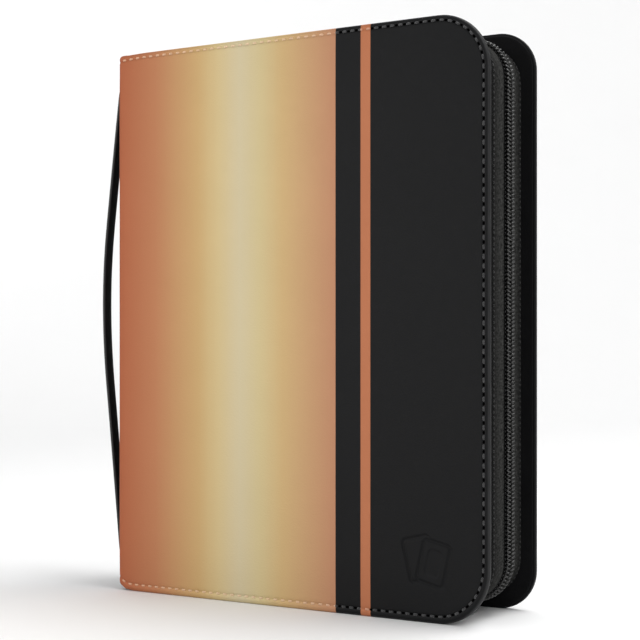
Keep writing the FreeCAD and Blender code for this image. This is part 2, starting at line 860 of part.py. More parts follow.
def lever(end, pivot_z):
    """An end lever: a barrel on a pin, a thumb tab outwards, a tongue under the blades."""
    outward = -1 if end == "lower" else 1
    half = D["lever_width"] / 2
    pin_y = FLOOR_Y - D["lever_height"]
    barrel = rod(
        f"lever_barrel_{end}",
        RING_X - half,
        pin_y,
        pivot_z,
        D["lever_barrel"],
        D["lever_width"],
        "x",
    )
    slope = D["lever_slope"].value if outward > 0 else 180 - D["lever_slope"].value
    drop = D["lever_sheet"] / 2
    tab = box(
        f"lever_tab_{end}",
        RING_X - half,
        pin_y - drop * math.cos(math.radians(slope)),
        pivot_z - drop * math.sin(math.radians(slope)),
        D["lever_width"],
        D["lever_sheet"],
        D["lever_tab"],
        Rotation(Vector(1, 0, 0), slope),
    )
    tongue_length = D["lever_tongue"]
    tongue = box(
        f"lever_tongue_{end}",
        RING_X - D["tongue_width"] / 2,
        FLOOR_Y - D["tongue_floor"] - D["tongue_sheet"],
        pivot_z if outward < 0 else pivot_z - tongue_length,
        D["tongue_width"],
        D["tongue_sheet"],
        tongue_length,
    )
    solid = fuse(f"lever_solid_{end}", [barrel, tab, tongue])
    bore = rod(
        f"lever_bore_{end}", RING_X - half, pin_y, pivot_z, D["pin_bore"], D["lever_width"], "x"
    )
    part(cut(f"ring_lever_{end}", solid, bore))
    length = D["pin_half_length"]
    part(
        rod(
            f"lever_pin_{end}",
            RING_X - length,
            pin_y,
            pivot_z,
            D["pin_radius"],
            length * 2,
            "x",
        )
    )


def rivet(end, z):
    """A rivet through the rail, the lining and the board, with its foot let into the board."""
    foot_depth = D["lining_thickness"] + D["board_thickness"]
    body = place(
        new_body(f"mechanism_rivet_{end}"),
        RING_X,
        FLOOR_Y + foot_depth,
        z,
        Rotation(Vector(0, 0, 1), 180),
    )
    crest = foot_depth + D["rail_rise"]
    sketch = new_sketch(body, XY)
    outline(
        sketch,
        [
            (ZERO, ZERO),
            (D["rivet_foot"], ZERO),
            (D["rivet_foot"], D["rivet_foot_sheet"]),
            (D["rivet_shank"], D["rivet_foot_sheet"]),
            (D["rivet_shank"], crest),
            (D["rivet_head"], crest),
            (D["rivet_head"], crest + D["rivet_head_rise"], D["rivet_head_rise"] * 0.8),
            (ZERO, crest + D["rivet_head_rise"]),
        ],
    )
    turned = body.newObject("PartDesign::Revolution", body.Name + "_turned")
    turned.Profile = sketch
    turned.ReferenceAxis = (sketch, ["V_Axis"])
    turned.Angle = 360
    part(body)


def ring_mechanism():
    rail()
    blade(-1, "blade_spine_side")
    blade(1, "blade_page_side")
    for name, z in ring_heights():
        ring_half(f"ring_{name}_spine_side", -1, z)
        ring_half(f"ring_{name}_page_side", 1, z)
    for end, z in mechanism_ends("lever_pivot"):
        lever(end, z)
    for end, z in mechanism_ends("rivet_setback"):
        rivet(end, z)


# ---------------------------------------------------------------- pages


def page_height_above_lining(number):
    """Pages are numbered from the front; the last one lies lowest."""
    from_bottom = TURNING_PAGES + RESTING_PAGES - number
    return D["page_floor"] + D["page_pitch"] * from_bottom


def pocket_sheet(number):
    """Nine card pockets welded to a backing, as one flat sheet."""
    floor = page_height_above_lining(number)
    hole_x = RING_X + D["ring_radius"]
    x = hole_x - D["strip_margin"] + D["strip_width"]
    body = place(new_body(f"page_{number:02d}_pockets"), x, FLOOR_Y - floor, PAGE_Z)
    sketch = new_sketch(body, XZ)
    width, height = D["pocket_sheet_width"], D["page_height"]
    outline(sketch, [(ZERO, ZERO), (width, ZERO), (width, height), (ZERO, height)])
    pad(body, sketch, D["pocket_sheet"])
    return body


def punched_strip(label, number):
    """A page's binding strip, with the three punched holes that the rings pass through."""
    level = page_height_above_lining(number) + (D["pocket_sheet"] - D["strip_sheet"]) / 2
    hole_x = RING_X + D["ring_radius"]
    body = place(new_body(label), hole_x - D["strip_margin"], FLOOR_Y - level, PAGE_Z)
    sketch = new_sketch(body, XZ)
    width, height = D["strip_width"], D["page_height"]
    outline(sketch, [(ZERO, ZERO), (width, ZERO), (width, height), (ZERO, height)])
    left = D["strip_margin"] - D["punch_half_height"]
    right = D["strip_margin"] + D["punch_reach"]
    for _, z in ring_heights():
        low = z - PAGE_Z - D["punch_half_height"]
        high = z - PAGE_Z + D["punch_half_height"]
        rounded = D["punch_rounding"]
        corners = [(left, low), (right, low), (right, high), (left, high)]
        outline(sketch, [(*corner, rounded) for corner in corners])
    pad(body, sketch, D["strip_sheet"])
    return body


def pages():
    for number in range(1, TURNING_PAGES + 1):
        part(pocket_sheet(number))
        part(punched_strip(f"page_{number:02d}_strip", number))
    resting = range(TURNING_PAGES + 1, TURNING_PAGES + RESTING_PAGES + 1)
    strips = []
    for number in resting:
        part(pocket_sheet(number))
        strips.append(punched_strip(f"resting_strip_{number:02d}", number))
    part(group("resting_page_strips", strips))


# ---------------------------------------------------------------- the whole binder


def build():
    cover("front", FRONT_Y, 1, False)
    cover("back", BACK_Y, -1, True)
    spine()
    flap = D["fold_inset"] + D["fold_flap"]
    fold("front_fold", FRONT_Y, Rotation(), flap, PANEL_START)
    fold("back_fold", BACK_Y, Rotation(Vector(0, 0, 1), -90), PANEL_START, flap)
    spine_web("spine_web_lower", D["gusset_inset"])
    spine_web("spine_web_upper", D["case_height"] - TAPE_INSET)
    zip_parts()
    zip_slider()
    zip_pull()
    carry_strap()
    ring_mechanism()
    pages()


def check():
    for thing in doc.Objects:
        if "Invalid" in thing.State or "Error" in thing.State:
            raise RuntimeError(f"{thing.Label} failed: {thing.State}")
    for thing in PARTS:
        shape = thing.Shape
        if shape.isNull() or not shape.isValid() or not shape.Solids:
            raise RuntimeError(f"{thing.Label} has no valid solid")


def export():
    os.makedirs("parts", exist_ok=True)
    for thing in PARTS:
        thing.Shape.exportStep(f"parts/{thing.Label}.step")
    print(len(PARTS), "nodes written")


build()
doc.recompute()
check()
export()
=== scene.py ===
import json
import math

import bmesh
import bpy
from mathutils import Matrix, Vector, noise
from mathutils.geometry import delaunay_2d_cdt


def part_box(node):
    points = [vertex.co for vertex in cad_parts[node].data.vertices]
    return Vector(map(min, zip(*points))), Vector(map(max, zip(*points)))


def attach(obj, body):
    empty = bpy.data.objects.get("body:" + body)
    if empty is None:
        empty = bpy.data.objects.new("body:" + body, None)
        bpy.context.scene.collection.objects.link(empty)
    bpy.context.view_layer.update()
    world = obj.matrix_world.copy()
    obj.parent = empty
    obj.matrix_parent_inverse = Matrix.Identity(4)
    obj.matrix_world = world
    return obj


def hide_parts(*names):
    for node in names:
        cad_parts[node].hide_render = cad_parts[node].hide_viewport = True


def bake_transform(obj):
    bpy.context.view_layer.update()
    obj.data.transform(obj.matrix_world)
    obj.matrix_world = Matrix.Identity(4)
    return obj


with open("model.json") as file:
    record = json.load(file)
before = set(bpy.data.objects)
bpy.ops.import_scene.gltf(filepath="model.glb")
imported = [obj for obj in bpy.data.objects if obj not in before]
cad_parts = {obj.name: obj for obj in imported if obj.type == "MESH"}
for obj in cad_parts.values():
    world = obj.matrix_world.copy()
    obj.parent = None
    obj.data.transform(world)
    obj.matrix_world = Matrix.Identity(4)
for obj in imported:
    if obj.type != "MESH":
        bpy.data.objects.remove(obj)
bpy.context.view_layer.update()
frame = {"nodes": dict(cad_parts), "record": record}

MM = 0.001

# ---------------------------------------------------------------- where things are

cover_low, cover_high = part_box("front_cover_skin")
spine_low, spine_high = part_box("spine_skin")
SPINE_X, FRONT_Y, BACK_Y = spine_low[0], cover_low[1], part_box("back_cover_skin")[1][1]
WIDTH = cover_high[0] - SPINE_X
HEIGHT = cover_high[2]
CORNER = {"front": 32 * MM, "back": 24 * MM}
FOLD = 2.5 * MM  # fold line to the outer faces
PANEL_START = cover_low[0] - SPINE_X
COVER_SHEET = 4.25 * MM  # skin and board together
FOLD_SHEET = 1.2 * MM
FOLD_END = FOLD - FOLD * math.pi / 2 - (spine_low[1] - FRONT_Y - FOLD)
STITCH_INSET = 4.3 * MM  # along the lower edge
STITCH_DRIFT = 1.2 * MM  # how much nearer the edge the row runs elsewhere
STITCH = 5.3 * MM  # from one stitch to the next
FOIL_CREEP = 0.8 * MM  # the printed edges lie this much nearer the fore edge than the films' own
PANEL_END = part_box("foil_panel")[1][0] - SPINE_X + FOIL_CREEP
STRIPE = [corner[0] - SPINE_X + FOIL_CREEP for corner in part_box("foil_stripe")]
EMBLEM = (223.5 * MM, 35 * MM)
page_low, page_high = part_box("page_01_pockets")
POCKET = ((page_high[0] - page_low[0]) / 3, (page_high[2] - page_low[2]) / 3)


def smooth(low, high, value):
    t = min(1.0, max(0.0, (value - low) / (high - low)))
    return t * t * (3 - 2 * t)


def steps(start, end, size):
    """Evenly spread values from start to end, no further apart than size."""
    count = max(1, math.ceil(abs(end - start) / size))
    return [start + (end - start) * i / count for i in range(count + 1)]


def split(start, end, count):
    """Count + 1 even values from start to end."""
    return [start + (end - start) * i / count for i in range(count + 1)]


# ---------------------------------------------------------------- materials


class Shader:
    """A Principled material and short ways to wire its nodes."""

    def __init__(self, name, base=(0.5, 0.5, 0.5), roughness=0.5, coords="rest", **sockets):
        self.material = bpy.data.materials.new(name)
        self.material.use_nodes = True
        self.tree = self.material.node_tree
        self.surface = self.tree.nodes["Principled BSDF"]
        self.set("Base Color", (*base, 1))
        self.set("Roughness", roughness)
        for socket, value in sockets.items():
            self.set(socket.replace("_", " "), value)
        if coords == "rest":
            self.point = self.node("UVMap", {"uv_map": "Rest"}).outputs["UV"]
        else:
            self.point = self.node("TexCoord").outputs["Object"]
        self.normal = None

    def set(self, socket, value):
        if isinstance(value, bpy.types.NodeSocket):
            self.tree.links.new(value, self.surface.inputs[socket])
        else:
            self.surface.inputs[socket].default_value = value

    def node(self, kind, settings=None, **inputs):
        made = self.tree.nodes.new("ShaderNode" + kind)
        for key, value in (settings or {}).items():
            setattr(made, key, value)
        for key, value in inputs.items():
            socket = made.inputs[int(key[1:])] if key[0] == "_" else made.inputs[key]
            if isinstance(value, bpy.types.NodeSocket):
                self.tree.links.new(value, socket)
            else:
                socket.default_value = value
        return made

    def math(self, operation, a, b=0.0, c=0.0):
        made = self.node("Math", {"operation": operation}, _0=a, _1=b, _2=c)
        return made.outputs[0]

    def part(self, axis):
        return self.node("SeparateXYZ", _0=self.point).outputs[axis]

    def stretched(self, x, y, z=1.0):
        made = self.node("VectorMath", {"operation": "MULTIPLY"}, _0=self.point, _1=(x, y, z))
        return made.outputs[0]

    def noise(self, scale, detail=3.0, roughness=0.5, vector=None):
        inputs = {"Vector": vector or self.point, "Scale": scale}
        inputs.update({"Detail": detail, "Roughness": roughness})
        return self.node("TexNoise", **inputs).outputs[0]

    def cells(self, scale, feature="F1", randomness=1.0):
        inputs = {"Vector": self.point, "Scale": scale, "Randomness": randomness}
        return self.node("TexVoronoi", {"feature": feature}, **inputs).outputs["Distance"]

    def spread(self, value, low, high):
        """Maps 0..1 to low..high."""
        return self.math("MULTIPLY_ADD", value, high - low, low)

    def between(self, value, low, high, edge=0.00015):
        """1 inside low..high, 0 outside, with soft edges."""
        up = {"Value": value, "From Min": low - edge, "From Max": low + edge}
        down = {"Value": value, "From Min": high + edge, "From Max": high - edge}
        rise = self.node("MapRange", **up).outputs[0]
        fall = self.node("MapRange", **down).outputs[0]
        return self.math("MULTIPLY", rise, fall)

    def mix(self, share, a, b, blend="MIX"):
        made = self.node("Mix", {"data_type": "RGBA", "blend_type": blend}, _0=share, _6=a, _7=b)
        return made.outputs[2]

    def mottle(self, share, base, brighter=1.35, lift=0.001):
        """The base colour, paler where share is high."""
        paler = tuple(c * brighter + lift for c in base)
        return self.mix(share, (*base, 1), (*paler, 1))

    def ramp(self, value, stops):
        made = self.node("ValToRGB", Fac=value)
        elements = made.color_ramp.elements
        for element, (position, color) in zip(elements, (stops[0], stops[-1])):
            element.position = position
            element.color = (*color, 1)
        for position, color in stops[1:-1]:
            elements.new(position).color = (*color, 1)
        return made.outputs["Color"]

    def bump(self, height, distance):
        inputs = {"Height": height, "Distance": distance}
        if self.normal is not None:
            inputs["Normal"] = self.normal
        self.normal = self.node("Bump", **inputs).outputs[0]
        self.set("Normal", self.normal)


def linear(r, g, b):
    """A screen colour, 0 to 255, as the shader's linear one."""
    values = [c / 255 for c in (r, g, b)]
    return tuple(c / 12.92 if c < 0.04045 else ((c + 0.055) / 1.055) ** 2.4 for c in values)


def grain(shader, size=0.9 * MM, depth=0.05 * MM, soft=0.42, hard=0.56):
    """Fine pebbled leatherette: shallow cells, finer creases, and slow changes of gloss."""
    warp = shader.noise(1 / (6 * size), 2.0)
    cells = shader.cells(1 / size, "SMOOTH_F1")
    fine = shader.noise(2.6 / size, 3.0, 0.6)
    height = shader.math("MULTIPLY_ADD", fine, 0.5, cells)
    shader.bump(height, depth)
    slow = shader.noise(22.0, 3.0)
    mottled = shader.math("MULTIPLY_ADD", warp, 0.4, shader.math("MULTIPLY", slow, 0.6))
    shader.set("Roughness", shader.spread(mottled, soft, hard))
    return slow


def rubbed_highlight(shader, color):
    """Leather paler along its turned edges, by the mesh's own wear_and_sheen measure: some wear, and a
    painted highlight where the rolled edge turns to the light.
    """
    wear_and_sheen = shader.node("Attribute", {"attribute_name": "wear_and_sheen"}).outputs["Fac"]
    reach = {"From Min": 0.3, "From Max": 0.6}
    patchy = shader.node("MapRange", Value=shader.noise(90.0), **reach)
    share = shader.math("MULTIPLY", wear_and_sheen, shader.spread(patchy.outputs[0], 0.7, 1.0))
    return shader.mix(share, color, (*WORN_HIGHLIGHT, 1))


def leatherette(name, base, gloss=0.12, **kwargs):
    shader = Shader(name, base, Specular_IOR_Level=gloss)
    color = shader.mottle(grain(shader, **kwargs), base)
    shader.set("Base Color", rubbed_highlight(shader, color))
    return shader.material


BLACK = (0.0031, 0.0032, 0.0036)
GOLDS = [  # (mm from the spine, screen colour)
    (0, (172, 96, 64)),
    (30, (185, 124, 87)),
    (64, (200, 166, 114)),
    (79, (208, 186, 138)),
    (95, (207, 193, 158)),
    (110, (206, 188, 142)),
    (126, (203, 172, 122)),
    (162, (188, 136, 104)),
]
COPPER = (174, 109, 76)
COPPER_THREAD = (205, 150, 120)
# The paler edge colour: partly wear, partly a painted highlight on the rolled edges.
WORN_HIGHLIGHT = (0.030, 0.030, 0.031)
FOIL_LEVEL = 0.88  # leaves room for the foil's own sheen


def gold_stops(lift=0.0):
    """The foil's gradient over the cover's width; lift makes it paler, for the thread."""
    stops = []
    for place, color in GOLDS:
        paler = [c + (warm - c) * lift for c, warm in zip(color, (255, 216, 180))]
        stops.append((place * MM / WIDTH, tuple(c * FOIL_LEVEL for c in linear(*paler))))
    return stops


def foil_leatherette():
    """Black leatherette with a printed gradient panel and a narrow copper stripe."""
    shader = Shader("foil_leatherette", BLACK, Specular_IOR_Level=0.12)
    plain = shader.mottle(grain(shader), BLACK)
    across = shader.part(0)
    streaks = shader.noise(1.0, 4.0, 0.6, shader.stretched(260.0, 1.5))
    share = shader.math("MULTIPLY_ADD", streaks, 0.012, shader.math("DIVIDE", across, WIDTH))
    gold = shader.ramp(shader.math("SUBTRACT", share, 0.006), gold_stops())
    panel = shader.between(across, -0.0042, PANEL_END)
    stripe = shader.between(across, *STRIPE)
    color = shader.mix(panel, rubbed_highlight(shader, plain), gold)
    color = shader.mix(stripe, color, (*linear(*COPPER), 1))
    shader.set("Base Color", color)
    printed = shader.math("ADD", panel, stripe)
    shader.set("Metallic", shader.math("MULTIPLY", printed, 0.22))
    return shader.material


def thread(name, colors=None, plain=(0.1, 0.1, 0.105)):
    """Twisted thread; its colour follows the gradient where it crosses the foil."""
    shader = Shader(name, plain, 0.62, Sheen_Weight=0.25, Specular_IOR_Level=0.35)
    along, around = shader.part(0), shader.part(1)
    twist = shader.math("MULTIPLY_ADD", around, 2 * math.pi, shader.math("MULTIPLY", along, 5200))
    strands = shader.math("SINE", twist)
    shader.bump(strands, 0.08 * MM)
    if colors:
        place = shader.node("Attribute", {"attribute_name": "across"}).outputs["Fac"]
        share = shader.math("DIVIDE", place, WIDTH)
        gold = shader.ramp(share, colors)
        on_panel = shader.between(place, -0.01, PANEL_END)
        on_stripe = shader.between(place, *STRIPE)
        color = shader.mix(on_panel, (*plain, 1), gold)
        color = shader.mix(on_stripe, color, (*linear(*COPPER_THREAD), 1))
        shader.set("Base Color", color)
    return shader.material


def twill(name, base, fade, pitch=1.7 * MM, depth=0.2 * MM):
    """Diagonal ribs crossed by finer threads. fade holds (mm across, how pale) pairs: painted shade and
    painted light across the band.
    """
    shader = Shader(name, base, 0.85, Sheen_Weight=0.006, Specular_IOR_Level=0.04)
    along, across = shader.part(0), shader.part(1)
    turn = 2 * math.pi / pitch
    ribs = shader.math("SINE", shader.math("MULTIPLY", shader.math("ADD", along, across), turn))
    threads = shader.math("SINE", shader.math("MULTIPLY", along, turn * 2))
    fuzz = shader.noise(430.0, 2.0, 0.6)
    height = shader.math("MULTIPLY_ADD", threads, 0.3, shader.math("MULTIPLY", ribs, 0.6))
    height = shader.math("MULTIPLY_ADD", fuzz, 3.0, height)
    shader.bump(height, depth)
    shade = shader.node("MapRange", Value=height, **{"From Min": 0.6, "From Max": 2.5}).outputs[0]
    paler, darker = tuple(c * 2.7 for c in base), tuple(c * 0.15 for c in base)
    color = shader.mix(shade, (*darker, 1), (*paler, 1))
    reach = fade[-1][0]
    stops = [(place / reach, (share, share, share)) for place, share in fade]
    light = shader.ramp(shader.math("DIVIDE", across, reach * MM), stops)
    shader.set("Base Color", shader.mix(1.0, color, light, "MULTIPLY"))
    return shader.material


def plain_weave(name, base, pitch=0.55 * MM):
    shader = Shader(name, base, 0.85, Sheen_Weight=0.03, Specular_IOR_Level=0.08)
    turn = math.pi / pitch
    warp = shader.math("SINE", shader.math("MULTIPLY", shader.part(0), turn))
    weft = shader.math("SINE", shader.math("MULTIPLY", shader.part(1), turn))
    height = shader.math("MULTIPLY", warp, weft)
    height = shader.math("MULTIPLY_ADD", shader.noise(2500.0), 0.7, height)
    shader.bump(height, 0.07 * MM)
    shader.set("Base Color", shader.mottle(shader.noise(40.0), base, 1.7, 0.0))
    return shader.material


def pocket_film(name, pocket):
    """Clear film over black: glossy and softly rippled, matt and dotted where it is welded."""
    shader = Shader(name, (0.008, 0.008, 0.009), 0.2, Coat_Weight=0.5)
    along = [shader.math("DIVIDE", shader.part(axis), pocket[axis]) for axis in (0, 1)]
    edges = []
    for axis in (0, 1):
        whole = shader.math("ROUND", along[axis])
        gap = shader.math("ABSOLUTE", shader.math("SUBTRACT", along[axis], whole))
        edges.append(shader.math("MULTIPLY", gap, pocket[axis]))
    nearest = shader.math("MINIMUM", *edges)
    weld = shader.between(nearest, -1.0, 1.1 * MM, 0.2 * MM)
    # A painted highlight: a pale line along each pocket's cut mouth, where the film's edge catches the
    # light.
    mouth = shader.math("MULTIPLY", shader.math("FRACT", along[0]), pocket[0])
    cut_edge_highlight = shader.between(mouth, 4.4 * MM, 4.9 * MM, 0.1 * MM)
    dots = shader.cells(1 / (1.1 * MM), randomness=0.0)
    shader.bump(shader.math("MULTIPLY", dots, weld), 0.4 * MM)
    ripple = shader.noise(1 / (30 * MM), 3.0, 0.55, shader.stretched(1.0, 0.45))
    shader.bump(ripple, 3.5 * MM)
    rough = shader.math("MULTIPLY_ADD", weld, 0.45, shader.spread(shader.noise(35.0), 0.06, 0.16))
    shader.set("Roughness", rough)
    color = shader.mix(weld, (0.008, 0.008, 0.009, 1), (0.003, 0.003, 0.0032, 1))
    shader.set("Base Color", shader.mix(cut_edge_highlight, color, (0.12, 0.12, 0.125, 1)))
    return shader.material


def metal(name, base, roughness, metallic=1.0, **sockets):
    """Plated or painted metal with fine scratches, smudges and slightly worn gloss."""
    shader = Shader(name, base, roughness, "object", Metallic=metallic, **sockets)
    smudge = shader.noise(45.0, 4.0, 0.6)
    scratch = shader.noise(1.0, 3.0, 0.7, shader.stretched(2600, 2600, 60))
    wear_and_sheen = shader.math("MULTIPLY_ADD", scratch, 0.35, shader.math("MULTIPLY", smudge, 0.65))
    shader.set("Roughness", shader.spread(wear_and_sheen, roughness * 0.6, roughness * 1.5))
    shader.bump(scratch, 0.012 * MM)
    darker = tuple(c * 0.82 for c in base)
    shader.set("Base Color", shader.mix(smudge, (*darker, 1), (*base, 1)))
    return shader.material


def plastic(name, base, roughness, coords="rest", bump=0.02 * MM, size=1.5 * MM, **sockets):
    shader = Shader(name, base, roughness, coords, **sockets)
    slow = shader.noise(30.0)
    shader.bump(shader.noise(1 / size, 4.0, 0.6), bump)
    shader.set("Roughness", shader.spread(slow, roughness * 0.7, roughness * 1.4))
    shader.set("Base Color", shader.mottle(slow, base))
    return shader.material


# How light the twill is, by the distance across it in mm. It follows the shading of the photo.
# These fades are painted shade and painted light: dark in the shadow behind the cover rims, near black in
# the shaded channel beside the chain, paler in between where light falls.
GUSSET_FADE = [(0, 0.5), (8, 0.3), (16, 0.12), (20, 0.2)]
FRONT_FADE = [(0, 0.3), (4, 0.45), (9, 0.75), (14, 1.0), (16, 0.85), (17.2, 0.02), (24, 0.02)]
BACK_FADE = [(0, 0.25), (2.5, 0.95), (8, 1.0), (11.5, 0.7), (18.4, 0.2)]

MATERIAL = {
    "foil": foil_leatherette(),
    "black": leatherette("black_leatherette", BLACK),
    "gusset": twill("gusset_twill", (0.027, 0.027, 0.026), GUSSET_FADE),
    "web": leatherette("web_leatherette", (0.006, 0.006, 0.0062)),
    "strap": leatherette("strap_leather", (0.013, 0.013, 0.0135), gloss=0.3, soft=0.26, hard=0.36),
    "front_thread": thread("foil_thread", gold_stops(0.6), (0.034, 0.034, 0.035)),
    "thread": thread("grey_thread", plain=(0.03, 0.03, 0.031)),
    "dark_thread": thread("dark_thread", plain=(0.02, 0.02, 0.021)),
    "hole_shadow": leatherette("needle_hole_shadow", (0.0001, 0.0001, 0.0001), gloss=0.0, soft=0.8, hard=0.95),
    "front_tape": twill("front_zip_twill", (0.023, 0.023, 0.022), FRONT_FADE),
    "back_tape": twill("back_zip_twill", (0.022, 0.022, 0.021), BACK_FADE),
    "coil": plastic("zip_nylon", (0.026, 0.026, 0.025), 0.28, Specular_IOR_Level=0.65),
    "lining": plain_weave("lining_cloth", (0.0045, 0.0045, 0.0048)),
    "enamel": metal("black_enamel", (0.02, 0.02, 0.021), 0.3, metallic=0.35, Coat_Weight=0.4),
    "nickel": metal("nickel_plate", (0.62, 0.61, 0.58), 0.2),
    "film": pocket_film("pocket_film", POCKET),
    "strip": plastic("binding_strip", (0.014, 0.014, 0.015), 0.4, "object", size=0.5 * MM),
    "board": plastic("greyboard", (0.26, 0.24, 0.21), 0.9, "object", bump=0.1 * MM),
}


# ---------------------------------------------------------------- mesh building


def piece(name, points, faces, material, rest=None, body=None, replaces=(), slot=None):
    """A mesh piece, its rest coordinates kept as a map that no pose changes."""
    mesh = bpy.data.meshes.new(name)
    mesh.from_pydata([tuple(p) for p in points], [], faces)
    mesh.validate()
    mesh.update()
    if rest is not None:
        layer = mesh.uv_layers.new(name="Rest")
        vertices = [loop.vertex_index for loop in mesh.loops]
        layer.data.foreach_set("uv", [c for v in vertices for c in rest[v]])
    mesh.materials.append(MATERIAL[material])
    made = bpy.data.objects.new(name, mesh)
    bpy.context.collection.objects.link(made)
    tidy_normals(mesh)
    mesh.polygons.foreach_set("use_smooth", [True] * len(mesh.polygons))
    if body:
        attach(made, body)
    if replaces:
        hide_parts(*replaces)
    return made


def add_measure(made, name, values):
    """Keeps one number for each point of a piece, for its material."""
    layer = made.data.attributes.new(name, "FLOAT", "POINT")
    layer.data.foreach_set("value", values)


def tidy_normals(mesh):
    work = bmesh.new()
    work.from_mesh(mesh)
    bmesh.ops.recalc_face_normals(work, faces=work.faces)
    work.to_mesh(mesh)
    work.free()


def strips(start, rings, size, closed=True):
    """Quads between rings of points that follow one another in a mesh."""
    faces = []
    for r in range(rings - 1):
        for j in range(size if closed else size - 1):
            k = (j + 1) % size
            a, b = start + r * size, start + (r + 1) * size
            faces.append((a + j, a + k, b + k, b + j))
    return faces


def tube(start, rings, size):
    """Rings of points joined into a closed tube."""
    ends = [tuple(start + r * size + j for j in range(size)) for r in (0, rings - 1)]
    return strips(start, rings, size) + ends


def grid(columns, rows):
    """Points, faces and edge loop of a flat net, row by row."""
    count, last = len(columns), len(rows) - 1
    loop = list(range(count)) + [r * count + count - 1 for r in range(1, last)]
    loop += [last * count + c for c in reversed(range(count))]
    loop += [r * count for r in reversed(range(1, last))]
    return [(a, b) for b in rows for a in columns], strips(0, len(rows), count, False), loop


def closed_sheet(outer, inner, faces, loop):
    """Joins an outer and an inner copy of one flat net round their shared edge loop."""
    count = len(outer)
    points = list(outer) + list(inner)
    both = [tuple(f) for f in faces] + [tuple(reversed([i + count for i in f])) for f in faces]
    for i, a in enumerate(loop):
        b = loop[(i + 1) % len(loop)]
        both.append((a, b, b + count, a + count))
    return points, both


def ringed_net(ring, insets, interior, side=()):
    """A flat net: rows that follow an outline at several insets, then loose points inside.

    ring(inset) gives an outline's points, always the same number of them. The rows are closed
    loops, or, when side is given, open ones whose ends all lie on one straight side; side
    holds the points of the last row's part of it, from its end back to its start.
    """
    rows = [ring(inset) for inset in insets]
    count = len(rows[0])
    is_open = len(side) > 0
    points = [p for row in rows for p in row]
    faces = strips(0, len(rows), count, not is_open)
    base = (len(rows) - 1) * count
    last = [base + i for i in range(count)]
    for p in side:
        last.append(len(points))
        points.append(p)
    seeds = [Vector(points[i]) for i in last] + [Vector(p) for p in interior]
    edges = [(i, (i + 1) % len(last)) for i in range(len(last))]
    made, _, triangles, source, _, _ = delaunay_2d_cdt(seeds, edges, [], 1, 1e-7)
    index = []
    for spot, origins in zip(made, source):
        rim = [o for o in origins if o < len(last)]
        if rim:
            index.append(last[rim[0]])
        else:
            index.append(len(points))
            points.append((spot[0], spot[1]))
    faces += [tuple(index[i] for i in triangle) for triangle in triangles]
    loop = list(range(count))
    if is_open:
        loop += [r * count + count - 1 for r in range(1, len(rows))]
        loop += last[count:]
        loop += [r * count for r in reversed(range(1, len(rows)))]
    return points, faces, loop


def rounded_section(width, thickness, radius, corner_steps=3):
    """A rounded rectangle, centred, as (a, b) pairs."""
    section = []
    for quarter, (sx, sy) in enumerate(((1, 1), (-1, 1), (-1, -1), (1, -1))):
        cx, cy = sx * (width / 2 - radius), sy * (thickness / 2 - radius)
        for i in range(corner_steps + 1):
            angle = math.pi / 2 * (quarter + i / corner_steps)
            section.append((cx + radius * math.cos(angle), cy + radius * math.sin(angle)))
    return section


def lengths(points):
    total, made = 0.0, [0.0]
    for a, b in zip(points, points[1:]):
        total += (Vector(b) - Vector(a)).length
        made.append(total)
    return made


def place_on(along, distance):
    """The point that ends the span a distance falls in, and how far along that span it is."""
    i = next((k for k in range(1, len(along)) if along[k] >= distance), len(along) - 1)
    span = along[i] - along[i - 1]
    return i, (distance - along[i - 1]) / span if span else 0


# ---------------------------------------------------------------- cover shells


def case_y(depth, side):
    """The place of a depth below one side's outer face."""
    return FRONT_Y + depth if side == "front" else BACK_Y - depth


def leather_point(s, v, sunk, side):
    """A point of the case's skin. s runs along the leather, from the spine round the fold to
    the fore edge; sunk is how far it lies below the outer face."""
    arc_start = FOLD - FOLD * math.pi / 2
    if s >= FOLD:
        x, depth = s, sunk
    elif s > arc_start:
        angle, radius = (FOLD - s) / FOLD, FOLD - sunk
        x, depth = FOLD - radius * math.sin(angle), FOLD - radius * math.cos(angle)
    else:
        x, depth = sunk, FOLD + arc_start - s
    return Vector((SPINE_X + x, case_y(depth, side), v))


def low_notch(s):
    """How far the leather draws in at the lower end of a fold: a rounded corner."""
    return 4.6 * MM * math.exp(-((abs(s - 0.7 * MM) / (4.2 * MM)) ** 1.4))


def high_notch(s):
    """The upper end stays nearly square, and droops a little."""
    near = 0.8 * MM * math.exp(-(((s - 0.7 * MM) / (1.6 * MM)) ** 2))
    return near + 0.7 * MM * math.exp(-(((s - 0.7 * MM) / (11 * MM)) ** 2))


def edge_distance(s, v, side):
    """Distance in from the cover's top, fore and lower edges."""
    corner = CORNER[side]
    centre = WIDTH - corner
    if s > centre and v < corner:
        return corner - math.hypot(s - centre, v - corner)
    if s > centre and v > HEIGHT - corner:
        return corner - math.hypot(s - centre, v - HEIGHT + corner)
    low, high = v - low_notch(s), HEIGHT - high_notch(s) - v
    return min(low, high, WIDTH - s)


def card_distance(s, v, centre, half, corner, turn):
    """Signed distance to a tilted card's rounded outline."""
    x, y = s - EMBLEM[0] - centre[0], v - EMBLEM[1] - centre[1]
    c, n = math.cos(turn), math.sin(turn)
    x, y = abs(x * c + y * n) - half[0] + corner, abs(y * c - x * n) - half[1] + corner
    return math.hypot(max(x, 0), max(y, 0)) + min(max(x, y), 0) - corner


